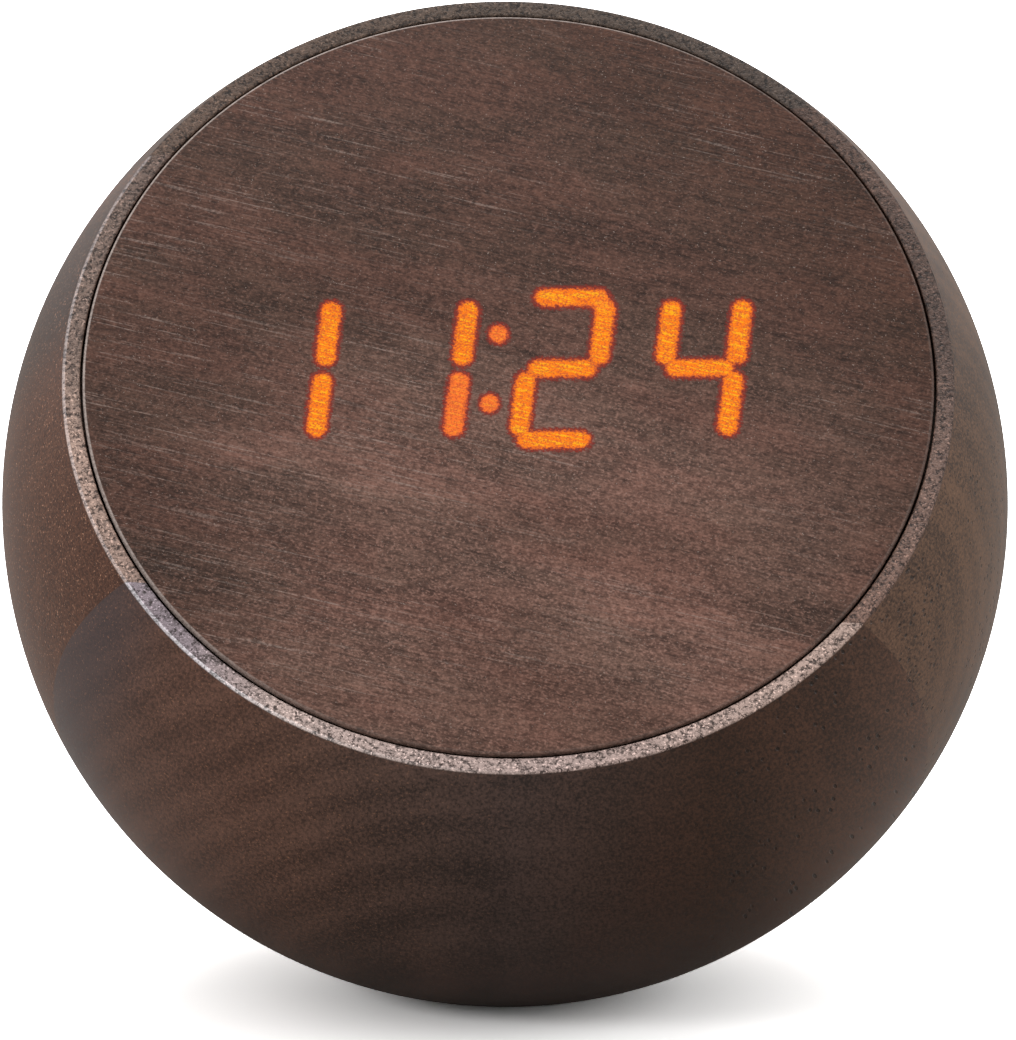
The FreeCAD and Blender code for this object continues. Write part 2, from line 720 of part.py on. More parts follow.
# Cast weight low in the well, which keeps the ball standing on its foot
weight_disc = cylinder("weight_disc", FACE, f"{WELL_RADIUS} - weight_gap", WELL_FLOOR, WEIGHT_TOP)
weight_half = block("weight_half", FACE, FAR, FAR, WELL_FLOOR, WEIGHT_TOP, "0",
                    f"-weight_chord - {FAR} / 2")
weight_holes = []
for number, (x, y) in enumerate(WEIGHT_SCREWS):
    weight_holes.append(cylinder(f"weight_hole_{number}", FACE, "wood_radius + thread_gap",
                                 WELL_FLOOR, WEIGHT_TOP, x, y))
    weight_holes.append(cylinder(f"weight_bore_{number}", FACE, "wood_head_radius + head_gap",
                                 f"{WEIGHT_TOP} - weight_bore_depth", WEIGHT_TOP, x, y))
weight = cut("ballast_weight", common("weight_blank", weight_disc, weight_half), weight_holes)
screw_set("ballast_screws", FACE, WEIGHT_SCREWS, WOOD, f"{WEIGHT_TOP} - weight_bore_depth",
          "weight_screw_length")

# Rear cover with bosses for the control board
cover = new_body("rear_cover", REAR)
disc = new_sketch(cover, "cover_disc", COVER_SEAT)
draw_circle(disc, f"{RECESS_RADIUS} - cover_gap")
pad(cover, "cover_pad", disc, "cover_thickness")
posts = new_sketch(cover, "cover_bosses", CONTROL_TOP)
for x, y in BOSSES:
    draw_circle(posts, "boss_radius", x, y)
pad(cover, "cover_boss_pad", posts, "control_drop + cover_thickness / 2")
through = new_sketch(cover, "cover_through", COVER_TOP)
for x in BUTTONS.values():
    draw_circle(through, "button_radius + button_fit", x, "button_rise")
draw_box(through, "lever_length + lever_travel + 2 * lever_end_fit", "lever_width + 2 * lever_side_fit",
         "-slider_left", "-slider_drop")
draw_box(through, "socket_length + 2 * socket_fit", "socket_width + 2 * socket_fit", "0", "-socket_drop")
draw_circle(through, "microphone_hole", "0", "-microphone_drop")
draw_circle(through, "lamp_radius + lamp_fit", "lamp_x", "-lamp_drop")
draw_circle(through, "sound_hole", "buzzer_x", "-buzzer_drop")
for x, y in even_circle("sound_circle", "0", SOUND_HOLE_COUNT):
    draw_circle(through, "sound_hole", f"buzzer_x + {x}", f"-buzzer_drop + {y}")
for step in (-1, 0, 1):
    draw_box(through, "vent_length", "vent_width", "-sensor_x", f"-sensor_drop + {step} * vent_pitch")
for x, y in COVER_SCREWS:
    draw_circle(through, "cover_shank_radius + thread_gap", x, y)
pocket(cover, "cover_cuts", through, "cover_thickness")
sinks = new_sketch(cover, "cover_sinks", COVER_TOP)
for x, y in COVER_SCREWS:
    draw_circle(sinks, "cover_head_radius + head_gap", x, y)
pocket(cover, "cover_counterbores", sinks, "cover_head_height")
pilots = new_sketch(cover, "cover_pilots", CONTROL_TOP)
for x, y in BOSSES:
    draw_circle(pilots, "fine_radius + thread_gap", x, y)
pocket(cover, "cover_pilot_cuts", pilots, "boss_pilot_depth", upward=True)
screw_set("rear_cover_screws", REAR, COVER_SCREWS, COVER, f"{COVER_TOP} - cover_head_height",
          "cover_screw_length")

# Control board on the bosses
control = new_body("control_board", REAR)
disc = new_sketch(control, "control_disc", CONTROL_BACK)
draw_circle(disc, CONTROL_RADIUS)
for x, y in BOSSES:
    draw_circle(disc, "fine_radius + thread_gap", x, y)
pad(control, "control_pad", disc, "control_thickness")
screw_set("control_board_screws", REAR, BOSSES, FINE, CONTROL_BACK, "fine_length", downward=False)

# Push buttons, each with its cap, switch and plunger
for name, x in BUTTONS.items():
    cap = new_body(name + "_button", REAR)
    flange = new_sketch(cap, name + "_flange", PLUNGER_TOP)
    draw_circle(flange, "flange_radius", x, "button_rise")
    pad(cap, name + "_flange_pad", flange, f"{COVER_SEAT} - flange_play - {PLUNGER_TOP}")
    stem = new_sketch(cap, name + "_stem", PLUNGER_TOP)
    draw_circle(stem, "button_radius", x, "button_rise")
    stem_pad = pad(cap, name + "_stem_pad", stem, f"{BUTTON_TOP} - {PLUNGER_TOP}")
    round_top(cap, name + "_cap_edge", stem_pad, "button_radius", "button_round")
    case = block(name + "_switch_case", REAR, "switch_side", "switch_side", CONTROL_TOP, SWITCH_TOP,
                 x, "button_rise")
    room = cylinder(name + "_switch_room", REAR, "plunger_radius + plunger_fit",
                    f"{SWITCH_TOP} - plunger_depth - plunger_room", SWITCH_TOP, x, "button_rise")
    cut(name + "_switch", case, [room])
    cylinder(name + "_plunger", REAR, "plunger_radius", f"{SWITCH_TOP} - plunger_depth", PLUNGER_TOP,
             x, "button_rise")

# Slide switch with its lever at the left end of the travel
case = block("slider_case", REAR, "slider_length", "slider_width", CONTROL_TOP,
             f"{CONTROL_TOP} + slider_height", "-slider_left", "-slider_drop")
room = block("slider_room", REAR, "lever_length + lever_travel + 2 * lever_end_fit",
             "lever_width + 2 * lever_side_fit",
             f"{CONTROL_TOP} + slider_height - lever_depth - lever_room",
             f"{CONTROL_TOP} + slider_height", "-slider_left", "-slider_drop")
cut("power_switch", case, [room])
block("power_lever", REAR, "lever_length", "lever_width", f"{CONTROL_TOP} + slider_height - lever_depth",
      BUTTON_TOP, "-slider_left - lever_travel / 2", "-slider_drop")

# Charging socket: a folded shell, and the contact tongue on its base
socket_outer = block("socket_outer", REAR, "socket_length", "socket_width", CONTROL_TOP,
                     f"{CONTROL_TOP} + socket_height", "0", "-socket_drop")
socket_inner = block("socket_inner", REAR, "socket_length - 2 * socket_wall",
                     "socket_width - 2 * socket_wall", f"{CONTROL_TOP} + socket_base",
                     f"{CONTROL_TOP} + socket_height", "0", "-socket_drop")
cut("socket_shell", socket_outer, [socket_inner])
block("socket_tongue", REAR, "tongue_length", "tongue_width", f"{CONTROL_TOP} + socket_base",
      f"{CONTROL_TOP} + socket_base + tongue_height", "0", "-socket_drop")

# Sounder, microphone, temperature sensor and charge lamp
buzzer_case = cylinder("buzzer_case", REAR, "buzzer_radius", CONTROL_TOP,
                       f"{CONTROL_TOP} + buzzer_height", "buzzer_x", "-buzzer_drop")
buzzer_port = cylinder("buzzer_hole", REAR, "buzzer_port",
                       f"{CONTROL_TOP} + buzzer_height - buzzer_port_depth",
                       f"{CONTROL_TOP} + buzzer_height", "buzzer_x", "-buzzer_drop")
cut("buzzer", buzzer_case, [buzzer_port])
cylinder("microphone", REAR, "microphone_radius", CONTROL_TOP, f"{CONTROL_TOP} + microphone_height",
         "0", "-microphone_drop")
cylinder("temperature_sensor", REAR, "sensor_radius", CONTROL_TOP, f"{CONTROL_TOP} + sensor_height",
         "-sensor_x", "-sensor_drop")
lamp_foot = block("lamp_foot", REAR, "2 * lamp_radius", "2 * lamp_radius", CONTROL_TOP,
                  f"{CONTROL_TOP} + lamp_base", "lamp_x", "-lamp_drop")
lamp_pipe = cylinder("lamp_pipe", REAR, "lamp_radius", CONTROL_TOP, COVER_TOP, "lamp_x", "-lamp_drop")
joined("charge_lamp", [lamp_foot, lamp_pipe])

# Chips and connectors on the inner side of the control board
block("controller_chip", REAR, "chip_side", "chip_side", f"{CONTROL_BACK} - chip_height", CONTROL_BACK,
      "0", "chip_rise")
crystal_middle = block("crystal_middle", REAR, "crystal_length - crystal_width", "crystal_width",
                       f"{CONTROL_BACK} - crystal_height", CONTROL_BACK, "0", "-crystal_drop")
crystal_ends = [cylinder(f"crystal_end_{side}", REAR, "crystal_width / 2",
                         f"{CONTROL_BACK} - crystal_height", CONTROL_BACK,
                         f"({side} - 1 / 2) * (crystal_length - crystal_width)", "-crystal_drop")
                for side in (0, 1)]
joined("quartz_crystal", [crystal_middle] + crystal_ends)

# Ribbon from the display, through the slot of the inner frame, to the control board
block("display_socket", FACE, "plug_length", "plug_width", f"{DISPLAY_BACK} - plug_height", DISPLAY_BACK,
      "0", "display_rise + plug_rise")
block("ribbon_socket", REAR, "plug_length", "plug_width", f"{CONTROL_BACK} - plug_height", CONTROL_BACK,
      "0", RIBBON_RISE)
leave_y = value("display_rise + plug_rise + plug_width / 2")
leave_z = value(f"{DISPLAY_BACK} - plug_height / 2")
slot_y = value("frame_slot_rise")
ribbon_y = value(RIBBON_RISE)
ribbon_points = [
    frame_point(FACE, 0, leave_y, leave_z),
    frame_point(FACE, 0, slot_y, leave_z),
    frame_point(FACE, 0, slot_y, leave_z - value("ribbon_drop")),
    frame_point(REAR, 0, ribbon_y, value(f"{CONTROL_BACK} - plug_height - ribbon_lead_in")),
    frame_point(REAR, 0, ribbon_y, value(f"{CONTROL_BACK} - plug_height")),
]
half_width = value("ribbon_width") / 2
half_thick = value("ribbon_thickness") / 2
ribbon_corners = [frame_point(FACE, side_x * half_width, leave_y, leave_z + side_z * half_thick)
                  for side_x, side_z in ((-1, -1), (1, -1), (1, 1), (-1, 1))]
swept("display_ribbon", ribbon_points, Part.makePolygon(ribbon_corners + ribbon_corners[:1]),
      4 * half_width * half_thick)

# Two battery leads, bowed round the end of the battery to their socket on the control board
block("battery_socket", REAR, "outlet_length", "outlet_width", f"{CONTROL_BACK} - outlet_height",
      CONTROL_BACK, "-outlet_x", "outlet_rise")
cell_end = value("battery_length") / 2
cell_middle = value("frame_level - tape_thickness - battery_height / 2")
lead_radius = value("lead_radius")
for name, side in (("battery_lead_red", 1), ("battery_lead_black", -1)):
    offset = side * value("lead_spacing") / 2
    socket_z = value(f"{CONTROL_BACK} - outlet_height")
    bow = value("lead_bow")
    lead_points = [
        frame_point(FACE, cell_end, offset, cell_middle),
        frame_point(FACE, cell_end + bow, offset, cell_middle),
        frame_point(REAR, -cell_end - bow / 2, value("outlet_rise") + offset, value("lead_sweep")),
        frame_point(REAR, -value("outlet_x"), value("outlet_rise") + offset, socket_z - 2 * bow),
        frame_point(REAR, -value("outlet_x"), value("outlet_rise") + offset, socket_z),
    ]
    ring = Part.Circle(lead_points[0], lead_points[1] - lead_points[0], lead_radius)
    swept(name, lead_points, Part.Wire([ring.toShape()]), math.pi * lead_radius ** 2)

NODES = [
    "shell_block_lower", "shell_block_middle", "shell_block_upper", "foot_pad",
    "face_veneer", "face_board", "lit_segments", "unlit_segments", "segment_diffusers",
    "display_reflector", "display_leds", "display_board", "display_board_screws", "display_driver",
    "inner_frame", "inner_frame_screws", "battery_tape", "battery_cell",
    "ballast_weight", "ballast_screws",
    "rear_cover", "rear_cover_screws", "control_board", "control_board_screws",
    "down_button", "set_button", "up_button", "down_switch", "set_switch", "up_switch",
    "down_plunger", "set_plunger", "up_plunger", "power_switch", "power_lever",
    "socket_shell", "socket_tongue", "buzzer", "microphone", "temperature_sensor", "charge_lamp",
    "controller_chip", "quartz_crystal", "display_socket", "ribbon_socket", "display_ribbon",
    "battery_socket", "battery_lead_red", "battery_lead_black",
]


def write_parts():
    """Check every object, then write each sub-part to its own file."""
    doc.recompute()
    for item in doc.Objects:
        if {"Invalid", "Error"} & set(item.State):
            raise ValueError(f"{item.Name} failed: {item.State}")
    os.makedirs("parts", exist_ok=True)
    for node in NODES:
        shape = doc.getObject(node).Shape
        if shape.isNull() or not shape.isValid() or not shape.Solids:
            raise ValueError(f"{node} has no valid solid")
        shape.exportStep(f"parts/{node}.step")
        print(f"{node}: {len(shape.Solids)} solids, {shape.Volume:.1f} mm3")


write_parts()
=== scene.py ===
"""Looks of the wooden ball clock: turned shell of three glued blocks, veneered face, rear controls.

Metres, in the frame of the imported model. The face frame starts at the ball's centre, with x across
the face, y up it and z out of it. The rear frame starts there too, with x to the right as seen from
behind, y up and z out of the back.
"""

import json
import logging
import math
from dataclasses import dataclass, field
from enum import Enum

import bmesh
import bpy
from mathutils import Euler, Matrix, Vector


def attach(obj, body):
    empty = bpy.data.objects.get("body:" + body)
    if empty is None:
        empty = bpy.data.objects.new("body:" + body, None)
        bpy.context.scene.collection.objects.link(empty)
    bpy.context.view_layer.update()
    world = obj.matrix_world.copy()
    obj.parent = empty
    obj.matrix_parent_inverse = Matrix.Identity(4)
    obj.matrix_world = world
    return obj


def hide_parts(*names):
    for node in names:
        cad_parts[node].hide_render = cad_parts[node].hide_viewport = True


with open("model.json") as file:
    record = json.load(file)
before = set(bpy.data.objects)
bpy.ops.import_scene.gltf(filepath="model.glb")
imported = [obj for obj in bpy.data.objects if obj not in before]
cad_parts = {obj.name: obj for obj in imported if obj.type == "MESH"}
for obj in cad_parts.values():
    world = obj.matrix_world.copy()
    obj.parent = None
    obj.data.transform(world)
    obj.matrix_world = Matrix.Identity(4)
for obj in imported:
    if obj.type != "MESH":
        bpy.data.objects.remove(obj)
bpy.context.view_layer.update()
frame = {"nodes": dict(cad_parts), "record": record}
LOG = logging.getLogger("ball_clock")
PER_MM = 1000.0

Triple = tuple[float, float, float]
Colour = Triple
Span = tuple[float, float]
Profile = list[Span]
Stops = tuple[tuple[float, Colour], ...]
EVEN: Triple = (1, 1, 1)
WHITE: Colour = (1.0, 1.0, 1.0)
BLACK: Colour = (0.0, 0.0, 0.0)
ON_AXIS = 1e-9


def from_srgb(red: float, green: float, blue: float) -> Colour:
    """Turn a display colour of 0 to 255 into a linear one.

    Args:
        red: display red.
        green: display green.
        blue: display blue.

    Returns:
        The linear colour.
    """
    def channel(level: float) -> float:
        """One channel's linear value."""
        share = level / 255
        return share / 12.92 if share <= 0.04045 else ((share + 0.055) / 1.055) ** 2.4

    return channel(red), channel(green), channel(blue)


def dimmed(colour: Colour, share: float) -> Colour:
    """A colour with a share of its brightness."""
    return tuple(level * share for level in colour)


@dataclass(frozen=True)
class Stance:
    """How the ball stands: its size, foot and the tilt of its face."""

    radius: float = 0.045
    foot_radius: float = 0.008
    pad_proud: float = 0.0003
    tilt: float = math.radians(42.0)

    @property
    def height(self) -> float:
        """Height of the ball's centre over the floor."""
        return math.sqrt(self.radius ** 2 - self.foot_radius ** 2) + self.pad_proud

    @property
    def centre(self) -> Vector:
        """The ball's centre."""
        return Vector((0, 0, self.height))

    @property
    def face(self) -> Matrix:
        """The face frame."""
        return Matrix.Translation(self.centre) @ Matrix.Rotation(math.pi / 2 - self.tilt, 4, "X")

    @property
    def rear(self) -> Matrix:
        """The rear frame."""
        return Matrix.Translation(self.centre) @ Matrix.Rotation(math.pi, 4, Vector((0, 1, 1)))


STANCE = Stance()


# Meshes

def rounded(corners: Profile, radii: dict[int, float], steps: int = 5) -> Profile:
    """Round some corners of a line of points with arcs.

    Args:
        corners: the points of the line.
        radii: radius for each corner's number.
        steps: runs in each arc.

    Returns:
        The line with its arcs.
    """
    line: Profile = []
    for number, corner in enumerate(corners):
        radius = radii.get(number, 0.0)
        if not radius:
            line.append(corner)
            continue
        here = Vector(corner)
        back = (Vector(corners[number - 1]) - here).normalized()
        onward = (Vector(corners[number + 1]) - here).normalized()
        half = back.angle(onward) / 2
        middle = here + (back + onward).normalized() * (radius / math.sin(half))
        first = here + back * (radius / math.tan(half)) - middle
        last = here + onward * (radius / math.tan(half)) - middle
        turn = first.angle_signed(last)
        for step in range(steps + 1):
            point = middle + Matrix.Rotation(-turn * step / steps, 2) @ first
            line.append((point.x, point.y))
    return line


def ring(mesh: bmesh.types.BMesh, radius: float, height: float, segments: int) -> list[bmesh.types.BMVert]:
    """Add the points of a circle round z.

    Args:
        mesh: the edit mesh.
        radius: the circle's radius, or nothing for a single point on the axis.
        height: its height.
        segments: number of points.

    Returns:
        The points.
    """
    if radius < ON_AXIS:
        return [mesh.verts.new((0, 0, height))]
    turns = [math.tau * step / segments for step in range(segments)]
    return [mesh.verts.new((radius * math.cos(a), radius * math.sin(a), height)) for a in turns]


def lathe(name: str, profile: Profile, place: Matrix, segments: int) -> bpy.types.Object:
    """Turn a closed solid from a profile that starts and ends on its axis.

    Args:
        name: name of the new object.
        profile: radius and height of each point.
        place: frame whose z axis is the lathe's axis.
        segments: faces round the axis.

    Returns:
        The new object.
    """
    mesh = bmesh.new()
    rings = [ring(mesh, radius, height, segments) for radius, height in profile]
    for lower, upper in zip(rings, rings[1:]):
        for step in range(segments):
            after = (step + 1) % segments
            corners = [lower[step % len(lower)], lower[after % len(lower)],
                       upper[after % len(upper)], upper[step % len(upper)]]
            face = list(dict.fromkeys(corners))
            if len(face) > 2:
                mesh.faces.new(face)
    mesh.transform(place)
    bmesh.ops.recalc_face_normals(mesh, faces=mesh.faces)
    return as_object(name, mesh)


def as_object(name: str, mesh: bmesh.types.BMesh) -> bpy.types.Object:
    """Put a finished edit mesh into a new object of the scene.

    Args:
        name: name of the new object.
        mesh: the edit mesh, which is freed.

    Returns:
        The new object.
    """
    data = bpy.data.meshes.new(name)
    mesh.to_mesh(data)
    mesh.free()
    item = bpy.data.objects.new(name, data)
    bpy.context.scene.collection.objects.link(item)
    return item


def settle(item: bpy.types.Object) -> bpy.types.Object:
    """Make an object's modifiers part of its mesh and remove them.

    Args:
        item: the object.

    Returns:
        The same object.
    """
    evaluated = item.evaluated_get(bpy.context.evaluated_depsgraph_get())
    mesh = bpy.data.meshes.new_from_object(evaluated)
    item.modifiers.clear()
    item.data = mesh
    return item


def carve(item: bpy.types.Object, tool: bpy.types.Object, operation: str) -> None:
    """Apply one exact boolean to an object.

    Args:
        item: the object that is changed.
        tool: the other operand, which stays.
        operation: DIFFERENCE, INTERSECT or UNION.
    """
    modifier = item.modifiers.new("carve", "BOOLEAN")
    modifier.solver = "EXACT"
    modifier.operation = operation
    modifier.object = tool
    settle(item)


def smooth(item: bpy.types.Object, angle: float = 32.0) -> None:
    """Shade an object smooth, with its sharper edges kept crisp.

    Args:
        item: the object.
        angle: sharpest bend in degrees that is still shaded smooth.
    """
    item.data.shade_smooth()
    item.data.set_sharp_from_angle(angle=math.radians(angle))


def discard(*items: bpy.types.Object) -> None:
    """Remove helper objects from the scene."""
    for item in items:
        bpy.data.objects.remove(item, do_unlink=True)


# Materials

@dataclass(frozen=True)
class Pattern:
    """A noise: stretch along the axes of its frame, repeats per millimetre, and offset in it."""

    stretch: Triple
    scale: float
    detail: float = 2.0
    roughness: float = 0.5
    warp: float = 0.0
    offset: Triple = (0, 0, 0)


def add_node(tree: bpy.types.NodeTree, kind: str, **settings: object) -> bpy.types.Node:
    """Add a node and set its properties.

    Args:
        tree: the node tree.
        kind: type of the node.
        settings: value of each property.

    Returns:
        The node.
    """
    node = tree.nodes.new(kind)
    for name, setting in settings.items():
        setattr(node, name, setting)
    return node


class Graph:
    """A material's node tree, with short ways to add and join its nodes."""

    MIX_SHARE, MIX_FIRST, MIX_SECOND, MIX_RESULT = 0, 6, 7, 2

    def __init__(self, name: str) -> None:
        """Start a material with a Principled surface.

        Args:
            name: name of the material.
        """
        self.material = bpy.data.materials.new(name)
        self.material.use_nodes = True
        self.tree = self.material.node_tree
        self.tree.nodes.clear()
        output = self.add("ShaderNodeOutputMaterial")
        self.surface = self.add("ShaderNodeBsdfPrincipled")
        self.tree.links.new(self.surface.outputs[0], output.inputs[0])
        self.coordinates = self.add("ShaderNodeTexCoord").outputs["Object"]

    def add(self, kind: str, **settings: object) -> bpy.types.Node:
        """Add a node of this tree and set its properties."""
        return add_node(self.tree, kind, **settings)

    def feed(self, socket: bpy.types.NodeSocket, source: object) -> None:
        """Join a socket to another node's output, or give it a value of its own.

        Args:
            socket: the socket that is fed.
            source: an output, a number, a colour or a vector.
        """
        if isinstance(source, bpy.types.NodeSocket):
            self.tree.links.new(source, socket)
        elif isinstance(source, tuple) and len(source) == 3 and socket.type == "RGBA":
            socket.default_value = (*source, 1.0)
        else:
            socket.default_value = source

    def math(self, operation: str, first: object, second: object = 0.0, third: object = 0.0,
             clamp: bool = False) -> bpy.types.NodeSocket:
        """One step of arithmetic.

        Args:
            operation: name of the step.
            first: its first value.
            second: its second value, if it has one.
            third: its third value, if it has one.
            clamp: whether the result is held between 0 and 1.

        Returns:
            The result.
        """
        node = self.add("ShaderNodeMath", operation=operation, use_clamp=clamp)
        for socket, source in zip(node.inputs, (first, second, third)):
            self.feed(socket, source)
        return node.outputs[0]

    def times(self, first: object, *others: object) -> bpy.types.NodeSocket:
        """The product of two or more values.

        Args:
            first: the first value.
            others: the values that it is multiplied by.

        Returns:
            The product.
        """
        for other in others:
            first = self.math("MULTIPLY", first, other)
        return first

    def plus(self, first: object, *others: object) -> bpy.types.NodeSocket:
        """The sum of two or more values.

        Args:
            first: the first value.
            others: the values that are added to it.

        Returns:
            The sum.
        """
        for other in others:
            first = self.math("ADD", first, other)
        return first

    def swing(self, source: object, reach: float) -> bpy.types.NodeSocket:
        """A noise of 0 to 1 as a swing of the whole reach about zero."""
        return self.math("MULTIPLY_ADD", source, reach, -reach / 2)

    def distance(self, x: object, y: object) -> bpy.types.NodeSocket:
        """How far a step along x and y goes."""
        return self.math("SQRT", self.plus(self.math("POWER", x, 2.0), self.math("POWER", y, 2.0)))

    def mapped(self, place: Matrix, scale: Triple = EVEN, shift: Triple = (0, 0, 0)) -> bpy.types.NodeSocket:
        """Object coordinates in millimetres of another frame.

        Args:
            place: the frame, whose origin becomes zero.
            scale: stretch along each axis of the frame, after the turn.
            shift: offset in stretched millimetres.

        Returns:
            The turned, moved and stretched coordinates.
        """
        turn = place.to_3x3().transposed()
        origin = turn @ (place.translation * -PER_MM)
        frame_node = self.add("ShaderNodeMapping")
        frame_node.inputs["Rotation"].default_value = turn.to_euler("XYZ")
        frame_node.inputs["Scale"].default_value = (PER_MM,) * 3
        frame_node.inputs["Location"].default_value = origin
        self.feed(frame_node.inputs["Vector"], self.coordinates)
        stretch = self.add("ShaderNodeMapping")
        stretch.inputs["Scale"].default_value = scale
        stretch.inputs["Location"].default_value = shift
        self.feed(stretch.inputs["Vector"], frame_node.outputs[0])
        return stretch.outputs[0]

    def noise(self, vector: bpy.types.NodeSocket, scale: float, detail: float = 2.0,
              roughness: float = 0.5, warp: float = 0.0) -> bpy.types.NodeSocket:
        """Fractal noise of about 0 to 1.

        Args:
            vector: where it is read.
            scale: its repeats per millimetre.
            detail: how many finer noises are laid over it.
            roughness: how strong the finer ones are.
            warp: how far it is bent by itself.

        Returns:
            The noise.
        """
        node = self.add("ShaderNodeTexNoise")
        self.feed(node.inputs["Vector"], vector)
        node.inputs["Scale"].default_value = scale
        node.inputs["Detail"].default_value = detail
        node.inputs["Roughness"].default_value = roughness
        node.inputs["Distortion"].default_value = warp
        return node.outputs[0]

    def pattern(self, place: Matrix, pattern: Pattern, offset: Triple | None = None) -> bpy.types.NodeSocket:
        """The noise of a pattern in a frame.

        Args:
            place: the frame.
            pattern: the pattern.
            offset: an offset that stands in for the pattern's own.

        Returns:
            The noise.
        """
        vector = self.mapped(place, pattern.stretch, pattern.offset if offset is None else offset)
        return self.noise(vector, pattern.scale, pattern.detail, pattern.roughness, pattern.warp)

    def cells(self, vector: bpy.types.NodeSocket, scale: float) -> bpy.types.Node:
        """Cells with a random colour each.

        Args:
            vector: where they are read.
            scale: number of cells per millimetre.

        Returns:
            The node.
        """
        node = self.add("ShaderNodeTexVoronoi")
        self.feed(node.inputs["Vector"], vector)
        node.inputs["Scale"].default_value = scale
        return node

    def ease(self, value: object, low: float, high: float, start: float = 0.0,
             end: float = 1.0) -> bpy.types.NodeSocket:
        """Map a value smoothly from one range to another, held at the ends.

        Args:
            value: the value.
            low: where the change starts.
            high: where it ends.
            start: result at its start.
            end: result at its end.

        Returns:
            The mapped value.
        """
        node = self.add("ShaderNodeMapRange", interpolation_type="SMOOTHSTEP")
        for socket, source in zip(node.inputs, (value, low, high, start, end)):
            self.feed(socket, source)
        return node.outputs[0]

    def blend(self, share: object, first: object, second: object, mode: str = "MIX") -> bpy.types.NodeSocket:
        """Blend two colours.

        Args:
            share: share of the second one.
            first: the first colour.
            second: the second colour.
            mode: how the second one goes on the first.

        Returns:
            The blended colour.
        """
        node = self.add("ShaderNodeMix", data_type="RGBA", blend_type=mode)
        self.feed(node.inputs[self.MIX_SHARE], share)
        self.feed(node.inputs[self.MIX_FIRST], first)
        self.feed(node.inputs[self.MIX_SECOND], second)
        return node.outputs[self.MIX_RESULT]

    def filtered(self, colour: object, filter_colour: object) -> bpy.types.NodeSocket:
        """A colour seen through another one."""
        return self.blend(1.0, colour, filter_colour, "MULTIPLY")

    def ramp(self, value: bpy.types.NodeSocket, stops: Stops) -> bpy.types.NodeSocket:
        """A colour for each value of 0 to 1.

        Args:
            value: the value.
            stops: places and their colours, at least two.

        Returns:
            The colour.
        """
        node = self.add("ShaderNodeValToRGB")
        elements = node.color_ramp.elements
        for place, _ in stops[2:]:
            elements.new(place)
        for element, (place, colour) in zip(elements, stops):
            element.position = place
            element.color = (*colour, 1.0)
        self.feed(node.inputs[0], value)
        return node.outputs[0]

    def parts(self, vector: bpy.types.NodeSocket) -> tuple[bpy.types.NodeSocket, ...]:
        """The x, y and z of a vector.

        Args:
            vector: the vector.

        Returns:
            Its three parts.
        """
        node = self.add("ShaderNodeSeparateXYZ")
        self.feed(node.inputs[0], vector)
        return tuple(node.outputs)

    def bump(self, height: object, depth: float) -> bpy.types.NodeSocket:
        """A bumped normal.

        Args:
            height: the height, of about 0 to 1.
            depth: metres for a height of 1.

        Returns:
            The normal.
        """
        node = self.add("ShaderNodeBump")
        self.feed(node.inputs["Height"], height)
        node.inputs["Distance"].default_value = depth
        return node.outputs[0]

    def finish(self, **sockets: object) -> bpy.types.Material:
        """Feed the surface's sockets.

        Args:
            sockets: what each one gets, by its name with underscores.

        Returns:
            The material.
        """
        for name, source in sockets.items():
            self.feed(self.surface.inputs[name.replace("_", " ")], source)
        return self.material


def face_turn(x: float, y: float, z: float) -> Matrix:
    """The face frame turned, for the lie of a grain.

    Args:
        x: degrees about x, turned last.
        y: degrees about y.
        z: degrees about z, turned first.

    Returns:
        The turned frame.
    """
    angles = Euler((math.radians(x), math.radians(y), math.radians(z)), "ZYX")
    return STANCE.face @ angles.to_matrix().to_4x4()


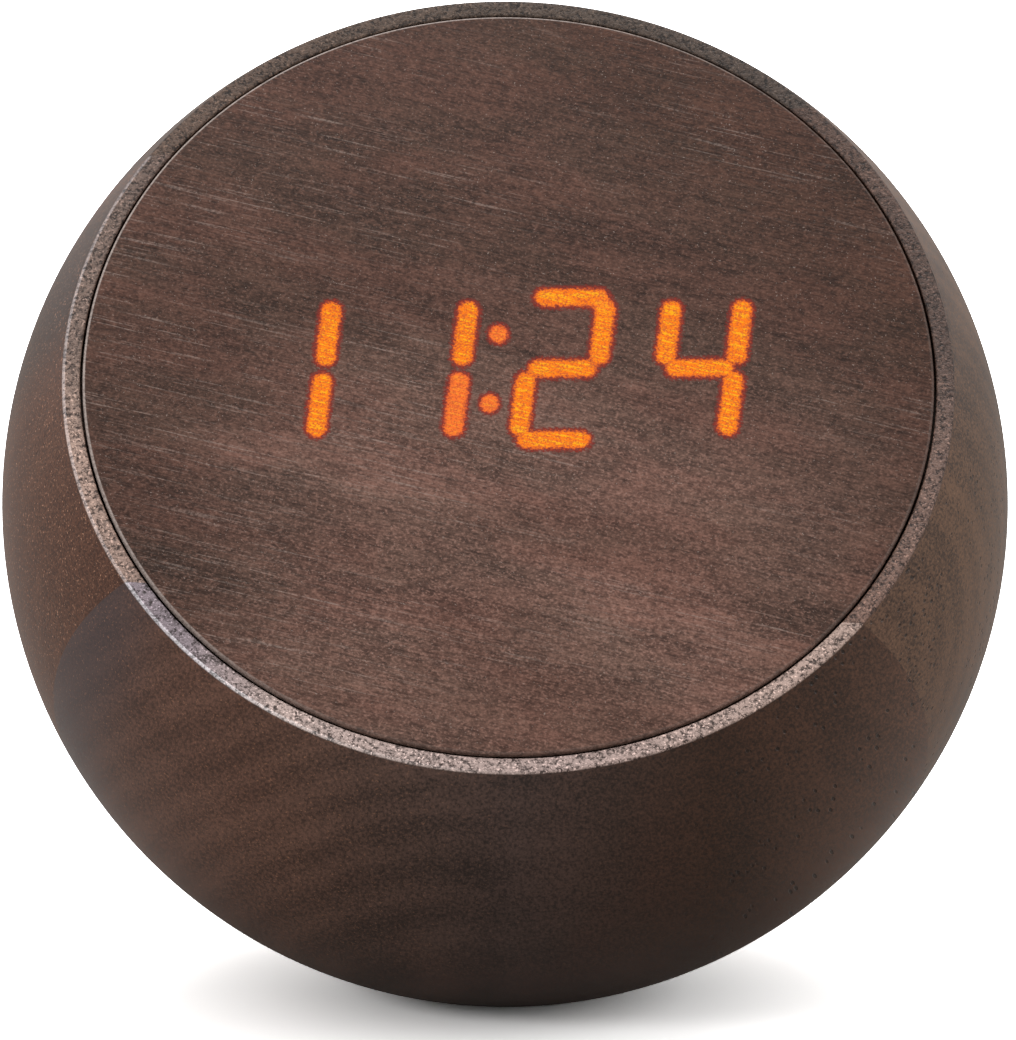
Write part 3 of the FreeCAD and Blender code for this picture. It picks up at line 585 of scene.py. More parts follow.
@dataclass(frozen=True)
class BlockWood:
    """Stained, satin wood of one block of the shell; the fibres run along x of its grain frame.

    Places are millimetres in the face frame, and a pair of them says where a change starts and ends.
    Four numbers say that and the values at its start and end.
    """

    name: str
    grain: Matrix
    dark: Colour
    middle: Colour
    warm: Colour
    rim: Stops
    pith: Span = (30.0, -60.0)
    ring_spacing: float = 5.0
    ring_depth: float = 0.3
    ring_fade: Span = (90.0, 95.0)
    sway: float = 1.3
    warm_share: float = 0.6
    warm_side: Span = (60.0, 50.0)
    pore_share: float = 0.35
    pore_stretch: float = 0.08
    pore_side: Span = (10.0, 26.0)
    pore_ends: bool = False
    mottle: float = 0.30
    speck: float = 0.5
    speck_colour: Colour = from_srgb(170, 126, 100)
    rim_level: float = 21.15
    rim_radius: float = 39.64
    rim_share: float = 0.95
    pit: Colour = (0.09, 0.075, 0.07)
    # painted highlight along the rim's outer edge, its strength by place across the face
    painted_arris_highlight: Stops = ((0.0, BLACK), (1.0, BLACK))
    tint: Colour = (0.05, 0.05, 0.07)
    tint_share: float = 0.0
    tint_line: Span = (-20.0, -30.0)
    tint_rise: Triple = (-18.0, 12.0, 4.0)
    speck_ends: Span = (1.0, 1.0)
    rim_rise: Span = (1.0, 1.0)
    # tone and painted light and shade by place across the face, such as painted shade in the lower bowl and a
    # painted sheen at its right silhouette
    light_and_tone_across: Stops = ((0.0, WHITE), (1.0, WHITE))
    shift: Triple = (0.0, 0.0, 0.0)
    roughness: float = 0.40

    CLOUD, CLOUD_SHARE = Pattern((0.35, 1, 1), 0.045, 3, 0.55, 0.6), 1.1
    SWAY = Pattern((0.3, 1, 1), 0.045, 2)
    FIBRE, FIBRE_SWING = Pattern((0.08, 1, 1), 3.2, 2, 0.6), 0.5
    FLECK, MOTTLE_SWING = Pattern((0.6, 1, 1), 3.6, 1, 0.7), 4
    FAR_RINGS = 0.25
    TONES = (0.15, 1.15)
    PORES_PER_MM = 1.35
    PORE_EDGE = (0.28, 0.14)
    ENDS_FADE = (-10.0, 10.0, 0.3, 1.0)
    PORE_LOW = (2.0, -14.0, -0.14, 0.22)
    PORE_PATCH, PORE_PATCHES = Pattern(EVEN, 0.12, 1, offset=(5, 5, 5)), (0.40, 0.52)
    PORE_COVER, PORE_DARK = 0.8, 0.3
    HEAT, HEATS = Pattern((0.4, 1, 1), 0.06, 2, 0.5, 0.4, (7, 3, 9)), (0.45, 0.75)
    HEAT_SIDE = (26.0, 4.0, 0.2, 1.0)
    WARM_FLECKS, WARM_DARK = (0.35, 0.65), 0.6
    SPECK, SPECKS = Pattern(EVEN, 4.4, 2, 0.6), (0.60, 0.72)
    SPECK_SIDE = (-24, 24)
    FACE_WIDTH = 80
    GRIT = Pattern(EVEN, 3.0, 2, 0.75)
    LUMP, LUMP_SWING = Pattern(EVEN, 1.3, 1, 0.6), 0.5
    GLINT, GLINTS = Pattern(EVEN, 4.2, 1, 0.6), (0.56, 0.74)
    GLINT_SHARE, GLINT_GAIN = 0.8, (2.3, 2.3, 2.3)
    RIM_TONE_RISE = (4, -8)
    PITTED = (0.62, 0.30)
    RIM_STEP = (-0.10, 0.04)
    ARRIS_RADIUS, ARRIS_LEVEL = (-0.22, -0.12), (-0.14, -0.02)
    ARRIS_GRIT = (0.30, 0.60, 0.35, 1.0)
    FIBRE_HEIGHT, RIM_HEIGHT, DEPTH = 0.25, 2.4, 0.00006
    SHINE_SWING, RIM_SHINE, SPECULAR = 0.2, 0.12, 0.28

    def figure(self, graph: Graph) -> tuple[bpy.types.NodeSocket, ...]:
        """The tone of the figure, and the fibre and fleck noises it is made of.

        Args:
            graph: the material's graph.

        Returns:
            The tone, the fibre noise and the fleck noise.
        """
        cloud, sway, fibre, fleck = (graph.pattern(self.grain, kind, self.shift)
                                     for kind in (self.CLOUD, self.SWAY, self.FIBRE, self.FLECK))
        _, across, up = graph.parts(graph.mapped(self.grain))
        reach = graph.distance(graph.math("SUBTRACT", across, self.pith[0]),
                               graph.math("SUBTRACT", up, self.pith[1]))
        turn = graph.plus(graph.math("DIVIDE", reach, self.ring_spacing), graph.times(sway, self.sway))
        rings = graph.math("MULTIPLY_ADD", graph.math("SINE", graph.times(turn, math.tau)), 0.5, 0.5)
        sideways = graph.parts(graph.mapped(STANCE.face))[0]
        depth = graph.ease(sideways, *self.ring_fade, self.ring_depth, self.ring_depth * self.FAR_RINGS)
        tone = graph.plus(graph.times(cloud, self.CLOUD_SHARE), graph.times(rings, depth),
                          graph.swing(fibre, self.FIBRE_SWING),
                          graph.swing(fleck, self.MOTTLE_SWING * self.mottle))
        return tone, fibre, fleck

    def pores(self, graph: Graph, across: bpy.types.NodeSocket) -> bpy.types.NodeSocket:
        """Where the open pores are, as short strokes along the fibres.

        Args:
            graph: the material's graph.
            across: the place across the face.

        Returns:
            The pores' mask.
        """
        strokes = graph.mapped(self.grain, (self.pore_stretch, 1, 1), self.shift)
        cells = graph.cells(strokes, self.PORES_PER_MM)
        chosen = graph.math("GREATER_THAN", graph.parts(cells.outputs["Color"])[0], 1 - self.pore_share)
        fade = 1.0
        if self.pore_ends:
            fade = graph.ease(across, *self.ENDS_FADE)
            across = graph.math("ABSOLUTE", across)
        low = graph.ease(graph.parts(graph.mapped(STANCE.face))[1], *self.PORE_LOW)
        patches = graph.plus(graph.pattern(self.grain, self.PORE_PATCH), low)
        zone = graph.times(graph.ease(across, *self.pore_side), graph.ease(patches, *self.PORE_PATCHES), fade)
        return graph.times(graph.ease(cells.outputs["Distance"], *self.PORE_EDGE), chosen, zone)

    def warmed(self, graph: Graph, colour: object, fleck: object, across: object) -> bpy.types.NodeSocket:
        """The colour with its warm patches.

        Args:
            graph: the material's graph.
            colour: the colour so far.
            fleck: the fleck noise.
            across: the place across the face.

        Returns:
            The colour.
        """
        heat = graph.times(graph.ease(graph.pattern(self.grain, self.HEAT), *self.HEATS),
                           graph.ease(across, *self.HEAT_SIDE))
        heat = graph.math("ADD", heat, graph.ease(across, *self.warm_side), clamp=True)
        warm = graph.blend(graph.ease(fleck, *self.WARM_FLECKS), dimmed(self.warm, self.WARM_DARK), self.warm)
        return graph.blend(graph.times(heat, self.warm_share), colour, warm)

    def tinted(self, graph: Graph, colour: object, across: object, rise: object) -> bpy.types.NodeSocket:
        """The colour blended towards its tint in a band on the left, where the block has one.

        Args:
            graph: the material's graph.
            colour: the colour so far.
            across: the place across the face.
            rise: the place up the face.

        Returns:
            The colour.
        """
        if not self.tint_share:
            return colour
        side = graph.ease(across, *self.tint_line, 0.0, self.tint_share)
        middle, far, near = self.tint_rise
        band = graph.ease(graph.math("ABSOLUTE", graph.math("SUBTRACT", rise, middle)), far, near)
        return graph.blend(graph.times(side, band), colour, self.tint)

    def abreast(self, graph: Graph, across: object) -> bpy.types.NodeSocket:
        """The place across the face as 0 at its left and 1 at its right."""
        return graph.math("MULTIPLY_ADD", across, 1 / self.FACE_WIDTH, 0.5)

    def scuffed_and_lit_rim(self, graph: Graph, grit: object, across: object, rise: object,
                level: object) -> bpy.types.NodeSocket:
        """The look of the rim: bare wood with pits, lighter low down, with painted glints and a painted edge
        highlight.

        Args:
            graph: the material's graph.
            grit: the grit noise.
            across: the place across the face.
            rise: the place up the face.
            level: the place out of the face.

        Returns:
            The rim's colour.
        """
        place = self.abreast(graph, across)
        # the rim lighter low down and darker high up
        bare = graph.filtered(graph.ramp(place, self.rim), graph.ease(rise, *self.RIM_TONE_RISE, *self.rim_rise))
        lumps = graph.pattern(self.grain, self.LUMP, self.shift)
        worn_in = graph.plus(grit, graph.swing(lumps, self.LUMP_SWING))
        rim = graph.blend(graph.ease(worn_in, *self.PITTED), bare, graph.filtered(bare, self.pit))
        # painted glints: bright flecks on the rim
        glint = graph.ease(graph.pattern(self.grain, self.GLINT, self.shift), *self.GLINTS)
        rim = graph.blend(graph.times(glint, self.GLINT_SHARE), rim, graph.filtered(bare, self.GLINT_GAIN))
        # painted highlight along the rim's outer edge, broken up by the grit
        arris = graph.times(
            graph.ease(graph.distance(across, rise), *(self.rim_radius + step for step in self.ARRIS_RADIUS)),
            graph.ease(level, *(self.rim_level + step for step in self.ARRIS_LEVEL)))
        return graph.blend(graph.times(arris, graph.ease(grit, *self.ARRIS_GRIT)), rim,
                           graph.ramp(place, self.painted_arris_highlight), "ADD")

    def make(self) -> bpy.types.Material:
        """Build the material: figure, growth rings, fibres, pores, specks, painted light and shade, and the
        bare, pitted rim.

        Returns:
            The material.
        """
        graph = Graph(self.name)
        tone, fibre, fleck = self.figure(graph)
        across, rise, level = graph.parts(graph.mapped(STANCE.face))
        colour = graph.blend(graph.ease(tone, *self.TONES), self.dark, self.middle)
        colour = self.tinted(graph, self.warmed(graph, colour, fleck, across), across, rise)
        spark = graph.times(graph.ease(graph.pattern(self.grain, self.SPECK, self.shift), *self.SPECKS),
                            graph.ease(across, *self.SPECK_SIDE, *self.speck_ends), self.speck)
        colour = graph.blend(spark, colour, self.speck_colour)
        pore = self.pores(graph, across)
        colour = graph.blend(graph.times(pore, self.PORE_COVER), colour, dimmed(self.dark, self.PORE_DARK))
        place = self.abreast(graph, across)
        # painted light and shade across the face, with a shift of tone
        colour = graph.filtered(colour, graph.ramp(place, self.light_and_tone_across))
        grit = graph.pattern(self.grain, self.GRIT, self.shift)
        on_rim = graph.ease(level, *(self.rim_level + step for step in self.RIM_STEP))
        on_rim = graph.times(on_rim, self.rim_share)
        colour = graph.blend(on_rim, colour, self.scuffed_and_lit_rim(graph, grit, across, rise, level))
        height = graph.math("SUBTRACT", graph.times(fibre, self.FIBRE_HEIGHT), pore)
        height = graph.plus(height, graph.times(grit, on_rim, self.RIM_HEIGHT))
        shine = graph.math("MULTIPLY_ADD", fleck, self.SHINE_SWING, self.roughness - self.SHINE_SWING / 2)
        shine = graph.plus(shine, graph.times(on_rim, self.RIM_SHINE))
        return graph.finish(Base_Color=colour, Roughness=shine, Normal=graph.bump(height, self.DEPTH),
                            Specular_IOR_Level=self.SPECULAR)


@dataclass(frozen=True)
class VeneerWood:
    """Thin stained veneer of the face, with the light bars glowing through it."""

    name: str = "face_veneer_wood"
    dark: Colour = from_srgb(58, 40, 34)
    middle: Colour = from_srgb(130, 94, 82)
    grey: Colour = (0.80, 0.90, 0.90)
    shade: Colour = (0.52, 0.48, 0.45)
    corner_shade: Colour = (0.80, 0.77, 0.72)
    grain_light: Colour = from_srgb(146, 112, 100)
    light: Colour = from_srgb(150, 134, 126)
    # painted highlight along the disc's edge
    painted_edge_highlight: Colour = from_srgb(176, 164, 158)
    warm: Colour = from_srgb(84, 48, 36)
    slope: float = -15.5
    # the next two place a painted sheen low in the middle of the face, with the painted shade outside it
    heart: Span = (1.0, -23.0)
    sheen_reach: Span = (14.0, 40.0)
    edge: float = 37.90
    glow: Colour = (0.97, 0.20, 0.0)
    hot: Colour = (1.0, 0.46, 0.0)
    fringe: Colour = (0.70, 0.070, 0.045)
    dim: Colour = (0.88, 0.135, 0.030)

    BANDS, BAND_SHARE, BASE_TONE = Pattern((0.20, 1, 1), 0.10, 4, 0.6, 0.3), 0.6, 0.14
    CLOUD, CLOUD_SWING = Pattern((0.35, 1, 1), 0.30, 4, 0.65, offset=(4, 8, 2)), 0.9
    FIBRE, FIBRE_SWING = Pattern((0.06, 1, 1), 5.0, 1, 0.6), 0.8
    COARSE, COARSE_SWING = Pattern((0.7, 1, 1), 1.5, 2, 0.7, offset=(6, 2, 3)), 1.2
    SPECKLE = Pattern((0.8, 1, 1), 4.2, 1, 0.8, offset=(2, 7, 5))
    TONES = (-0.15, 1.05)
    HUE, HUES = Pattern((0.35, 1, 1), 0.16, 3, 0.6, 0.4, (7, 1, 8)), (0.38, 0.62)
    DARK_SPECKS = (0.50, 0.26, 0.0, 0.50)
    LIGHT_SPECKS = (0.50, 0.78, 0.0, 0.66)
    SHEEN_SWING = -22.0
    HEAT, HEATS = Pattern((0.28, 1, 1), 0.13, 3, 0.6, offset=(1, 5, 3)), (0.42, 0.66)
    HEAT_GAIN, HEAT_BASE = 0.24, 0.05
    WARM_SPECKS, WARM_DARK = (0.35, 0.65), 0.45
    CORNER = (26.0, 46.0)
    HAIR, HAIRS, HAIR_COVER = Pattern((0.022, 1, 1), 4.6, 2, 0.8, offset=(3, 1, 0)), (0.56, 0.70), 0.42
    HAIR_PATCH, HAIR_PATCHES = Pattern((0.3, 1, 1), 0.10, 1, offset=(9, 2, 0)), (0.36, 0.62)
    HAIR_SIDE = (12, -30, -0.08, 0.10)
    HAIR_SPECKS = (0.34, 0.56, 0.25, 1.0)
    SPARK, SPARKS, SPARK_COVER = Pattern(EVEN, 5.5, 1, offset=(8, 8, 1)), (0.68, 0.78), 0.55
    LIT_RISE, LIT_ACROSS = 0.55, -0.85
    LIT_SIDE = (-12, 26, 0.12, 1.0)
    RUB_STEP, RUB_COVER = (-0.26, -0.14), 0.8
    EDGE_HIGHLIGHT_SPECKS = (0.30, 0.60, 0.55, 1.0)
    RAGGED_SWING = 0.7
    CORE, HALO = (1.06, 0.66), (1.38, 1.00)
    STREAK_FIBRE, STREAK_SPECKLE, STREAKS = 0.7, 0.3, (0.47, 0.60)
    HOT_SPREAD, HOT_SHARE = (0.90, 0.40), 0.85
    FINE, DIM_FINE, DIM_SHARE = Pattern(EVEN, 6.5, 1, 0.6), (0.52, 0.36), 0.62
    HALO_LIGHT, CORE_LIGHT = 0.30, 0.70
    GRAINY = (0.34, 0.58, 0.72, 1.06)
    UNDER_GLOW, UNDER_SHARE = (0.006, 0.001, 0.0), 0.97
    FIBRE_HEIGHT, DEPTH = 0.6, 0.00003
    SHINE = (0.2, 0.8, 0.42, 0.58)
    SPECULAR = 0.12

    def wood(self, graph: Graph) -> tuple[bpy.types.NodeSocket, ...]:
        """The veneer's colour with its bands, speckle, hair lines, painted glints, painted sheen and shade,
        and a painted edge highlight.

        Args:
            graph: the material's graph.

        Returns:
            The colour, the fibre noise and the speckle noise.
        """
        grain = face_turn(0, 0, self.slope)
        bands, cloud, fibre, coarse, speckle = (
            graph.pattern(grain, kind)
            for kind in (self.BANDS, self.CLOUD, self.FIBRE, self.COARSE, self.SPECKLE))
        tone = graph.plus(graph.math("MULTIPLY_ADD", bands, self.BAND_SHARE, self.BASE_TONE),
                          graph.swing(cloud, self.CLOUD_SWING), graph.swing(fibre, self.FIBRE_SWING),
                          graph.swing(coarse, self.COARSE_SWING))
        colour = graph.blend(graph.ease(tone, *self.TONES), self.dark, self.middle)
        hue = graph.ease(graph.pattern(grain, self.HUE), *self.HUES)
        colour = graph.blend(hue, graph.filtered(colour, self.grey), colour)
        colour = graph.blend(graph.ease(speckle, *self.DARK_SPECKS), colour, self.dark)
        colour = graph.blend(graph.ease(speckle, *self.LIGHT_SPECKS), colour, self.grain_light)
        x, y, _ = graph.parts(graph.mapped(STANCE.face))
        # a painted sheen low in the middle of the face, with painted shade outside it; more warm patches fall
        # inside it
        away = graph.distance(*(graph.math("SUBTRACT", *pair) for pair in zip((x, y), self.heart)))
        away = graph.plus(away, graph.swing(bands, self.SHEEN_SWING))
        core = graph.ease(away, self.sheen_reach[1], self.sheen_reach[0])
        heat = graph.times(graph.ease(graph.pattern(grain, self.HEAT), *self.HEATS),
                           graph.math("MULTIPLY_ADD", core, self.HEAT_GAIN, self.HEAT_BASE))
        warm = graph.blend(graph.ease(speckle, *self.WARM_SPECKS),
                           dimmed(self.warm, self.WARM_DARK), self.warm)
        colour = graph.blend(heat, colour, warm)
        colour = graph.filtered(colour, graph.blend(core, self.shade, WHITE))
        corner = graph.ease(graph.plus(x, y), *self.CORNER)
        colour = graph.filtered(colour, graph.blend(corner, WHITE, self.corner_shade))
        patch = graph.plus(graph.pattern(grain, self.HAIR_PATCH), graph.ease(x, *self.HAIR_SIDE))
        line = graph.times(graph.ease(graph.pattern(grain, self.HAIR), *self.HAIRS),
                           graph.ease(patch, *self.HAIR_PATCHES),
                           graph.ease(speckle, *self.HAIR_SPECKS), self.HAIR_COVER)
        colour = graph.blend(line, colour, self.light)
        # painted glints: small bright specks
        spark = graph.ease(graph.pattern(grain, self.SPARK), *self.SPARKS)
        colour = graph.blend(graph.times(spark, self.SPARK_COVER), colour, self.light)
        # painted highlight along the disc's rounded edge, strongest towards the upper left
        lit = graph.math("MULTIPLY_ADD", y, self.LIT_RISE, graph.times(x, self.LIT_ACROSS))
        edge_highlight = graph.times(graph.ease(graph.distance(x, y), *(self.edge + step for step in self.RUB_STEP)),
                          graph.ease(lit, *self.LIT_SIDE), graph.ease(speckle, *self.EDGE_HIGHLIGHT_SPECKS),
                          self.RUB_COVER)
        return graph.blend(edge_highlight, colour, self.painted_edge_highlight), fibre, speckle

    def make(self) -> bpy.types.Material:
        """Build the material: the wood, and the glow of the bars on top of it.

        Returns:
            The material.
        """
        graph = Graph(self.name)
        colour, fibre, speckle = self.wood(graph)
        spread, power = (graph.add("ShaderNodeAttribute", attribute_type="GEOMETRY", attribute_name=name)
                         .outputs["Fac"] for name in ("bar_spread", "bar_power"))
        ragged = graph.plus(spread, graph.swing(speckle, self.RAGGED_SWING))
        core, halo = graph.ease(ragged, *self.CORE), graph.ease(ragged, *self.HALO)
        streak = graph.plus(graph.times(fibre, self.STREAK_FIBRE), graph.times(speckle, self.STREAK_SPECKLE))
        heart = graph.times(graph.ease(streak, *self.STREAKS), graph.ease(spread, *self.HOT_SPREAD),
                            self.HOT_SHARE)
        glow = graph.blend(heart, self.glow, self.hot)
        fine = graph.pattern(STANCE.face, self.FINE)
        glow = graph.blend(graph.times(graph.ease(fine, *self.DIM_FINE), self.DIM_SHARE), glow, self.dim)
        light = graph.blend(core, self.fringe, graph.blend(power, self.dim, glow))
        amount = graph.plus(graph.times(halo, self.HALO_LIGHT), graph.times(core, self.CORE_LIGHT))
        colour = graph.blend(graph.times(halo, self.UNDER_SHARE), colour, self.UNDER_GLOW)
        height = graph.plus(graph.times(fibre, self.FIBRE_HEIGHT), speckle)
        return graph.finish(Base_Color=colour, Roughness=graph.ease(speckle, *self.SHINE),
                            Normal=graph.bump(height, self.DEPTH), Specular_IOR_Level=self.SPECULAR,
                            Emission_Color=light,
                            Emission_Strength=graph.times(amount, graph.ease(fine, *self.GRAINY)))


@dataclass(frozen=True)
class Moulded:
    """Moulded plastic or rubber with a fine grain."""

    name: str
    colour: Colour
    roughness: float = 0.45
    grain: float = 3.0
    depth: float = 0.00002
    specular: float = 0.5

    def make(self) -> bpy.types.Material:
        """Build the material: grain in height and sheen, and a slight unevenness of colour.

        Returns:
            The material.
        """
        graph = Graph(self.name)
        plain = graph.mapped(Matrix.Identity(4))
        grit = graph.noise(plain, self.grain, 3, 0.6)
        cloud = graph.noise(plain, 0.25, 2)
        share = graph.plus(graph.times(grit, 0.5), graph.times(cloud, 0.5))
        colour = graph.blend(share, dimmed(self.colour, 0.82),
                             tuple(min(1.0, c * 1.15 + 0.002) for c in self.colour))
        shine = graph.ease(grit, 0.2, 0.8, self.roughness - 0.06, self.roughness + 0.08)
        return graph.finish(Base_Color=colour, Roughness=shine, Normal=graph.bump(grit, self.depth),
                            Specular_IOR_Level=self.specular)


@dataclass(frozen=True)
class Metal:
    """Plated metal or metal castings with fine brushing along one direction."""

    name: str
    colour: Colour
    roughness: float = 0.3
    brushing: Triple = (0.3, 1.0, 1.0)
    scale: float = 6.0
    depth: float = 0.00001

    def make(self) -> bpy.types.Material:
        """Build the material: brushing in colour, sheen and height.

        Returns:
            The material.
        """
        graph = Graph(self.name)
        streak = graph.noise(graph.mapped(Matrix.Identity(4), self.brushing), self.scale, 3, 0.6)
        stain = graph.noise(graph.mapped(Matrix.Identity(4)), 0.6, 2)
        share = graph.plus(graph.times(streak, 0.6), graph.times(stain, 0.4))
        colour = graph.blend(share, dimmed(self.colour, 0.7), self.colour)
        shine = graph.ease(streak, 0.2, 0.8, self.roughness - 0.08, self.roughness + 0.12)
        return graph.finish(Base_Color=colour, Roughness=shine, Normal=graph.bump(streak, self.depth),
                            Metallic=1.0)


@dataclass(frozen=True)
class Translucent:
    """Milky plastic that light is piped through."""

    name: str
    colour: Colour = (0.80, 0.79, 0.74)

    def make(self) -> bpy.types.Material:
        """Build the material: milky body with faint clouding.

        Returns:
            The material.
        """
        graph = Graph(self.name)
        cloud = graph.noise(graph.mapped(Matrix.Identity(4)), 0.8, 2)
        colour = graph.blend(cloud, dimmed(self.colour, 0.88), self.colour)
        return graph.finish(Base_Color=colour, Roughness=graph.ease(cloud, 0.2, 0.8, 0.3, 0.42),
                            Subsurface_Weight=0.3, Subsurface_Scale=0.0005)


# Pieces

class Side(Enum):
    """The three glued blocks of the shell."""

    LOWER = "lower"
    MIDDLE = "middle"
    UPPER = "upper"


@dataclass
class Shell:
    """The turned ball: outer skin, rim, stepped bore, foot and rear opening, cut at the glue seams."""

    rim_level: float = 0.0213
    rim_width: float = 0.00153
    rim_round: float = 0.00030
    lip_round: float = 0.00022
    seat_level: float = 0.0186
    seat_width: float = 0.003
    step_level: float = 0.006
    step_width: float = 0.006
    well_level: float = -0.020
    lower_seam: float = 0.0224
    lower_angle: float = math.radians(-4.0)
    upper_seam: float = 0.0263
    upper_angle: float = math.radians(4.6)
    back_radius: float = 0.024
    back_land: float = 0.002
    cover_ledge: float = 0.004
    cover_depth: float = 0.00217
    bore_depth: float = 0.0259
    pad_inset: float = 0.001
    pad_depth: float = 0.0012
    arris_round: float = 0.0006
    overcut: float = 0.006
    segments: int = 288
    arc_steps: int = 100
    woods: dict[Side, BlockWood] = field(default_factory=dict)

    def skin(self) -> bpy.types.Object:
        """Turn the ball with its rim, rebate and stepped bore.

        Returns:
            The whole skin.
        """
        radius = STANCE.radius
        rim = math.sqrt(radius ** 2 - self.rim_level ** 2)
        top = math.asin(self.rim_level / radius)
        angles = [-math.pi / 2 + (top + math.pi / 2) * step / self.arc_steps
                  for step in range(self.arc_steps)]
        line = [(radius * math.cos(a), radius * math.sin(a)) for a in angles]
        line[0] = (0.0, -radius)
        rebate = rim - self.rim_width
        bore = rebate - self.seat_width
        well = bore - self.step_width
        corner = len(line)
        line += [(rim, self.rim_level), (rebate, self.rim_level), (rebate, self.seat_level),
                 (bore, self.seat_level), (bore, self.step_level), (well, self.step_level),
                 (well, self.well_level), (0.0, self.well_level)]
        line = rounded(line, {corner: self.rim_round, corner + 1: self.lip_round})
        return lathe("shell_skin", line, STANCE.face, self.segments)

    def opening(self, name: str, place: Matrix, flat_radius: float, steps: Profile) -> bpy.types.Object:
        """Turn a tool that cuts a flat and a stepped recess and rounds the flat's outer arris.

        Args:
            name: name of the tool.
            place: frame whose z axis points out of the ball there.
            flat_radius: radius of the flat.
            steps: inner points of the tool, from its axis to the recess's mouth.

        Returns:
            The tool.
        """
        level = math.sqrt(STANCE.radius ** 2 - flat_radius ** 2)
        tangent = Vector((level, -flat_radius)).normalized() * self.overcut
        line = list(steps) + [(flat_radius, level), (flat_radius + tangent.x, level + tangent.y)]
        line += [(flat_radius + tangent.x, 2 * STANCE.radius), (0.0, 2 * STANCE.radius)]
        mouth = len(steps) - 1
        line = rounded(line, {mouth: self.lip_round, mouth + 1: self.arris_round})
        return lathe(name, line, place, self.segments)

    def side_tool(self, side: Side) -> bpy.types.Object:
        """A block that covers everything beyond one glue seam.

        Args:
            side: the lower or the upper block of the shell.

        Returns:
            The block.
        """
        sign = -1 if side is Side.LOWER else 1
        seam = self.lower_seam if side is Side.LOWER else self.upper_seam
        angle = self.lower_angle if side is Side.LOWER else self.upper_angle
        reach = 2 * STANCE.radius
        place = STANCE.face @ Matrix.Translation((0, sign * seam, 0)) @ Matrix.Rotation(angle, 4, "Z")
        mesh = bmesh.new()
        bmesh.ops.create_cube(mesh, size=reach, matrix=place @ Matrix.Translation((0, sign * reach / 2, 0)))
        bmesh.ops.recalc_face_normals(mesh, faces=mesh.faces)
        return as_object(f"{side.value}_tool", mesh)

    def build(self) -> dict[Side, bpy.types.Object]:
        """Cut the turned skin into its three blocks.

        Returns:
            The block for each side.
        """
        whole = self.skin()
        back = math.sqrt(STANCE.radius ** 2 - self.back_radius ** 2)
        recess = self.back_radius - self.back_land
        bore = recess - self.cover_ledge
        seat = back - self.cover_depth
        rear = self.opening("rear_tool", STANCE.rear, self.back_radius, [
            (0.0, seat - self.bore_depth), (bore, seat - self.bore_depth), (bore, seat),
            (recess, seat), (recess, back)])
        foot_flat = math.sqrt(STANCE.radius ** 2 - STANCE.foot_radius ** 2)
        pad = STANCE.foot_radius - self.pad_inset
        down = Matrix.Translation(STANCE.centre) @ Matrix.Rotation(math.pi, 4, "X")
        foot = self.opening("foot_tool", down, STANCE.foot_radius, [
            (0.0, foot_flat - self.pad_depth), (pad, foot_flat - self.pad_depth), (pad, foot_flat)])
        for tool in (rear, foot):
            carve(whole, tool, "DIFFERENCE")
        lower = self.side_tool(Side.LOWER)
        upper = self.side_tool(Side.UPPER)
        blocks = {}
        for side in Side:
            block = bpy.data.objects.new(f"shell_{side.value}", whole.data.copy())
            bpy.context.scene.collection.objects.link(block)
            if side is Side.MIDDLE:
                carve(block, lower, "DIFFERENCE")
                carve(block, upper, "DIFFERENCE")
            else:
                carve(block, lower if side is Side.LOWER else upper, "INTERSECT")
            smooth(block)
            blocks[side] = block
        discard(whole, rear, foot, lower, upper)
        return blocks

    def dress(self, blocks: dict[Side, bpy.types.Object]) -> None:
        """Give each block its wood and let it stand for its solid.

        Args:
            blocks: the block for each side.
        """
        for side, block in blocks.items():
            block.data.materials.clear()
            block.data.materials.append(self.woods[side].make())
            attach(block, "ball")
            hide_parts(f"shell_block_{side.value}")
            LOG.info("%s: %d faces", block.name, len(block.data.polygons))


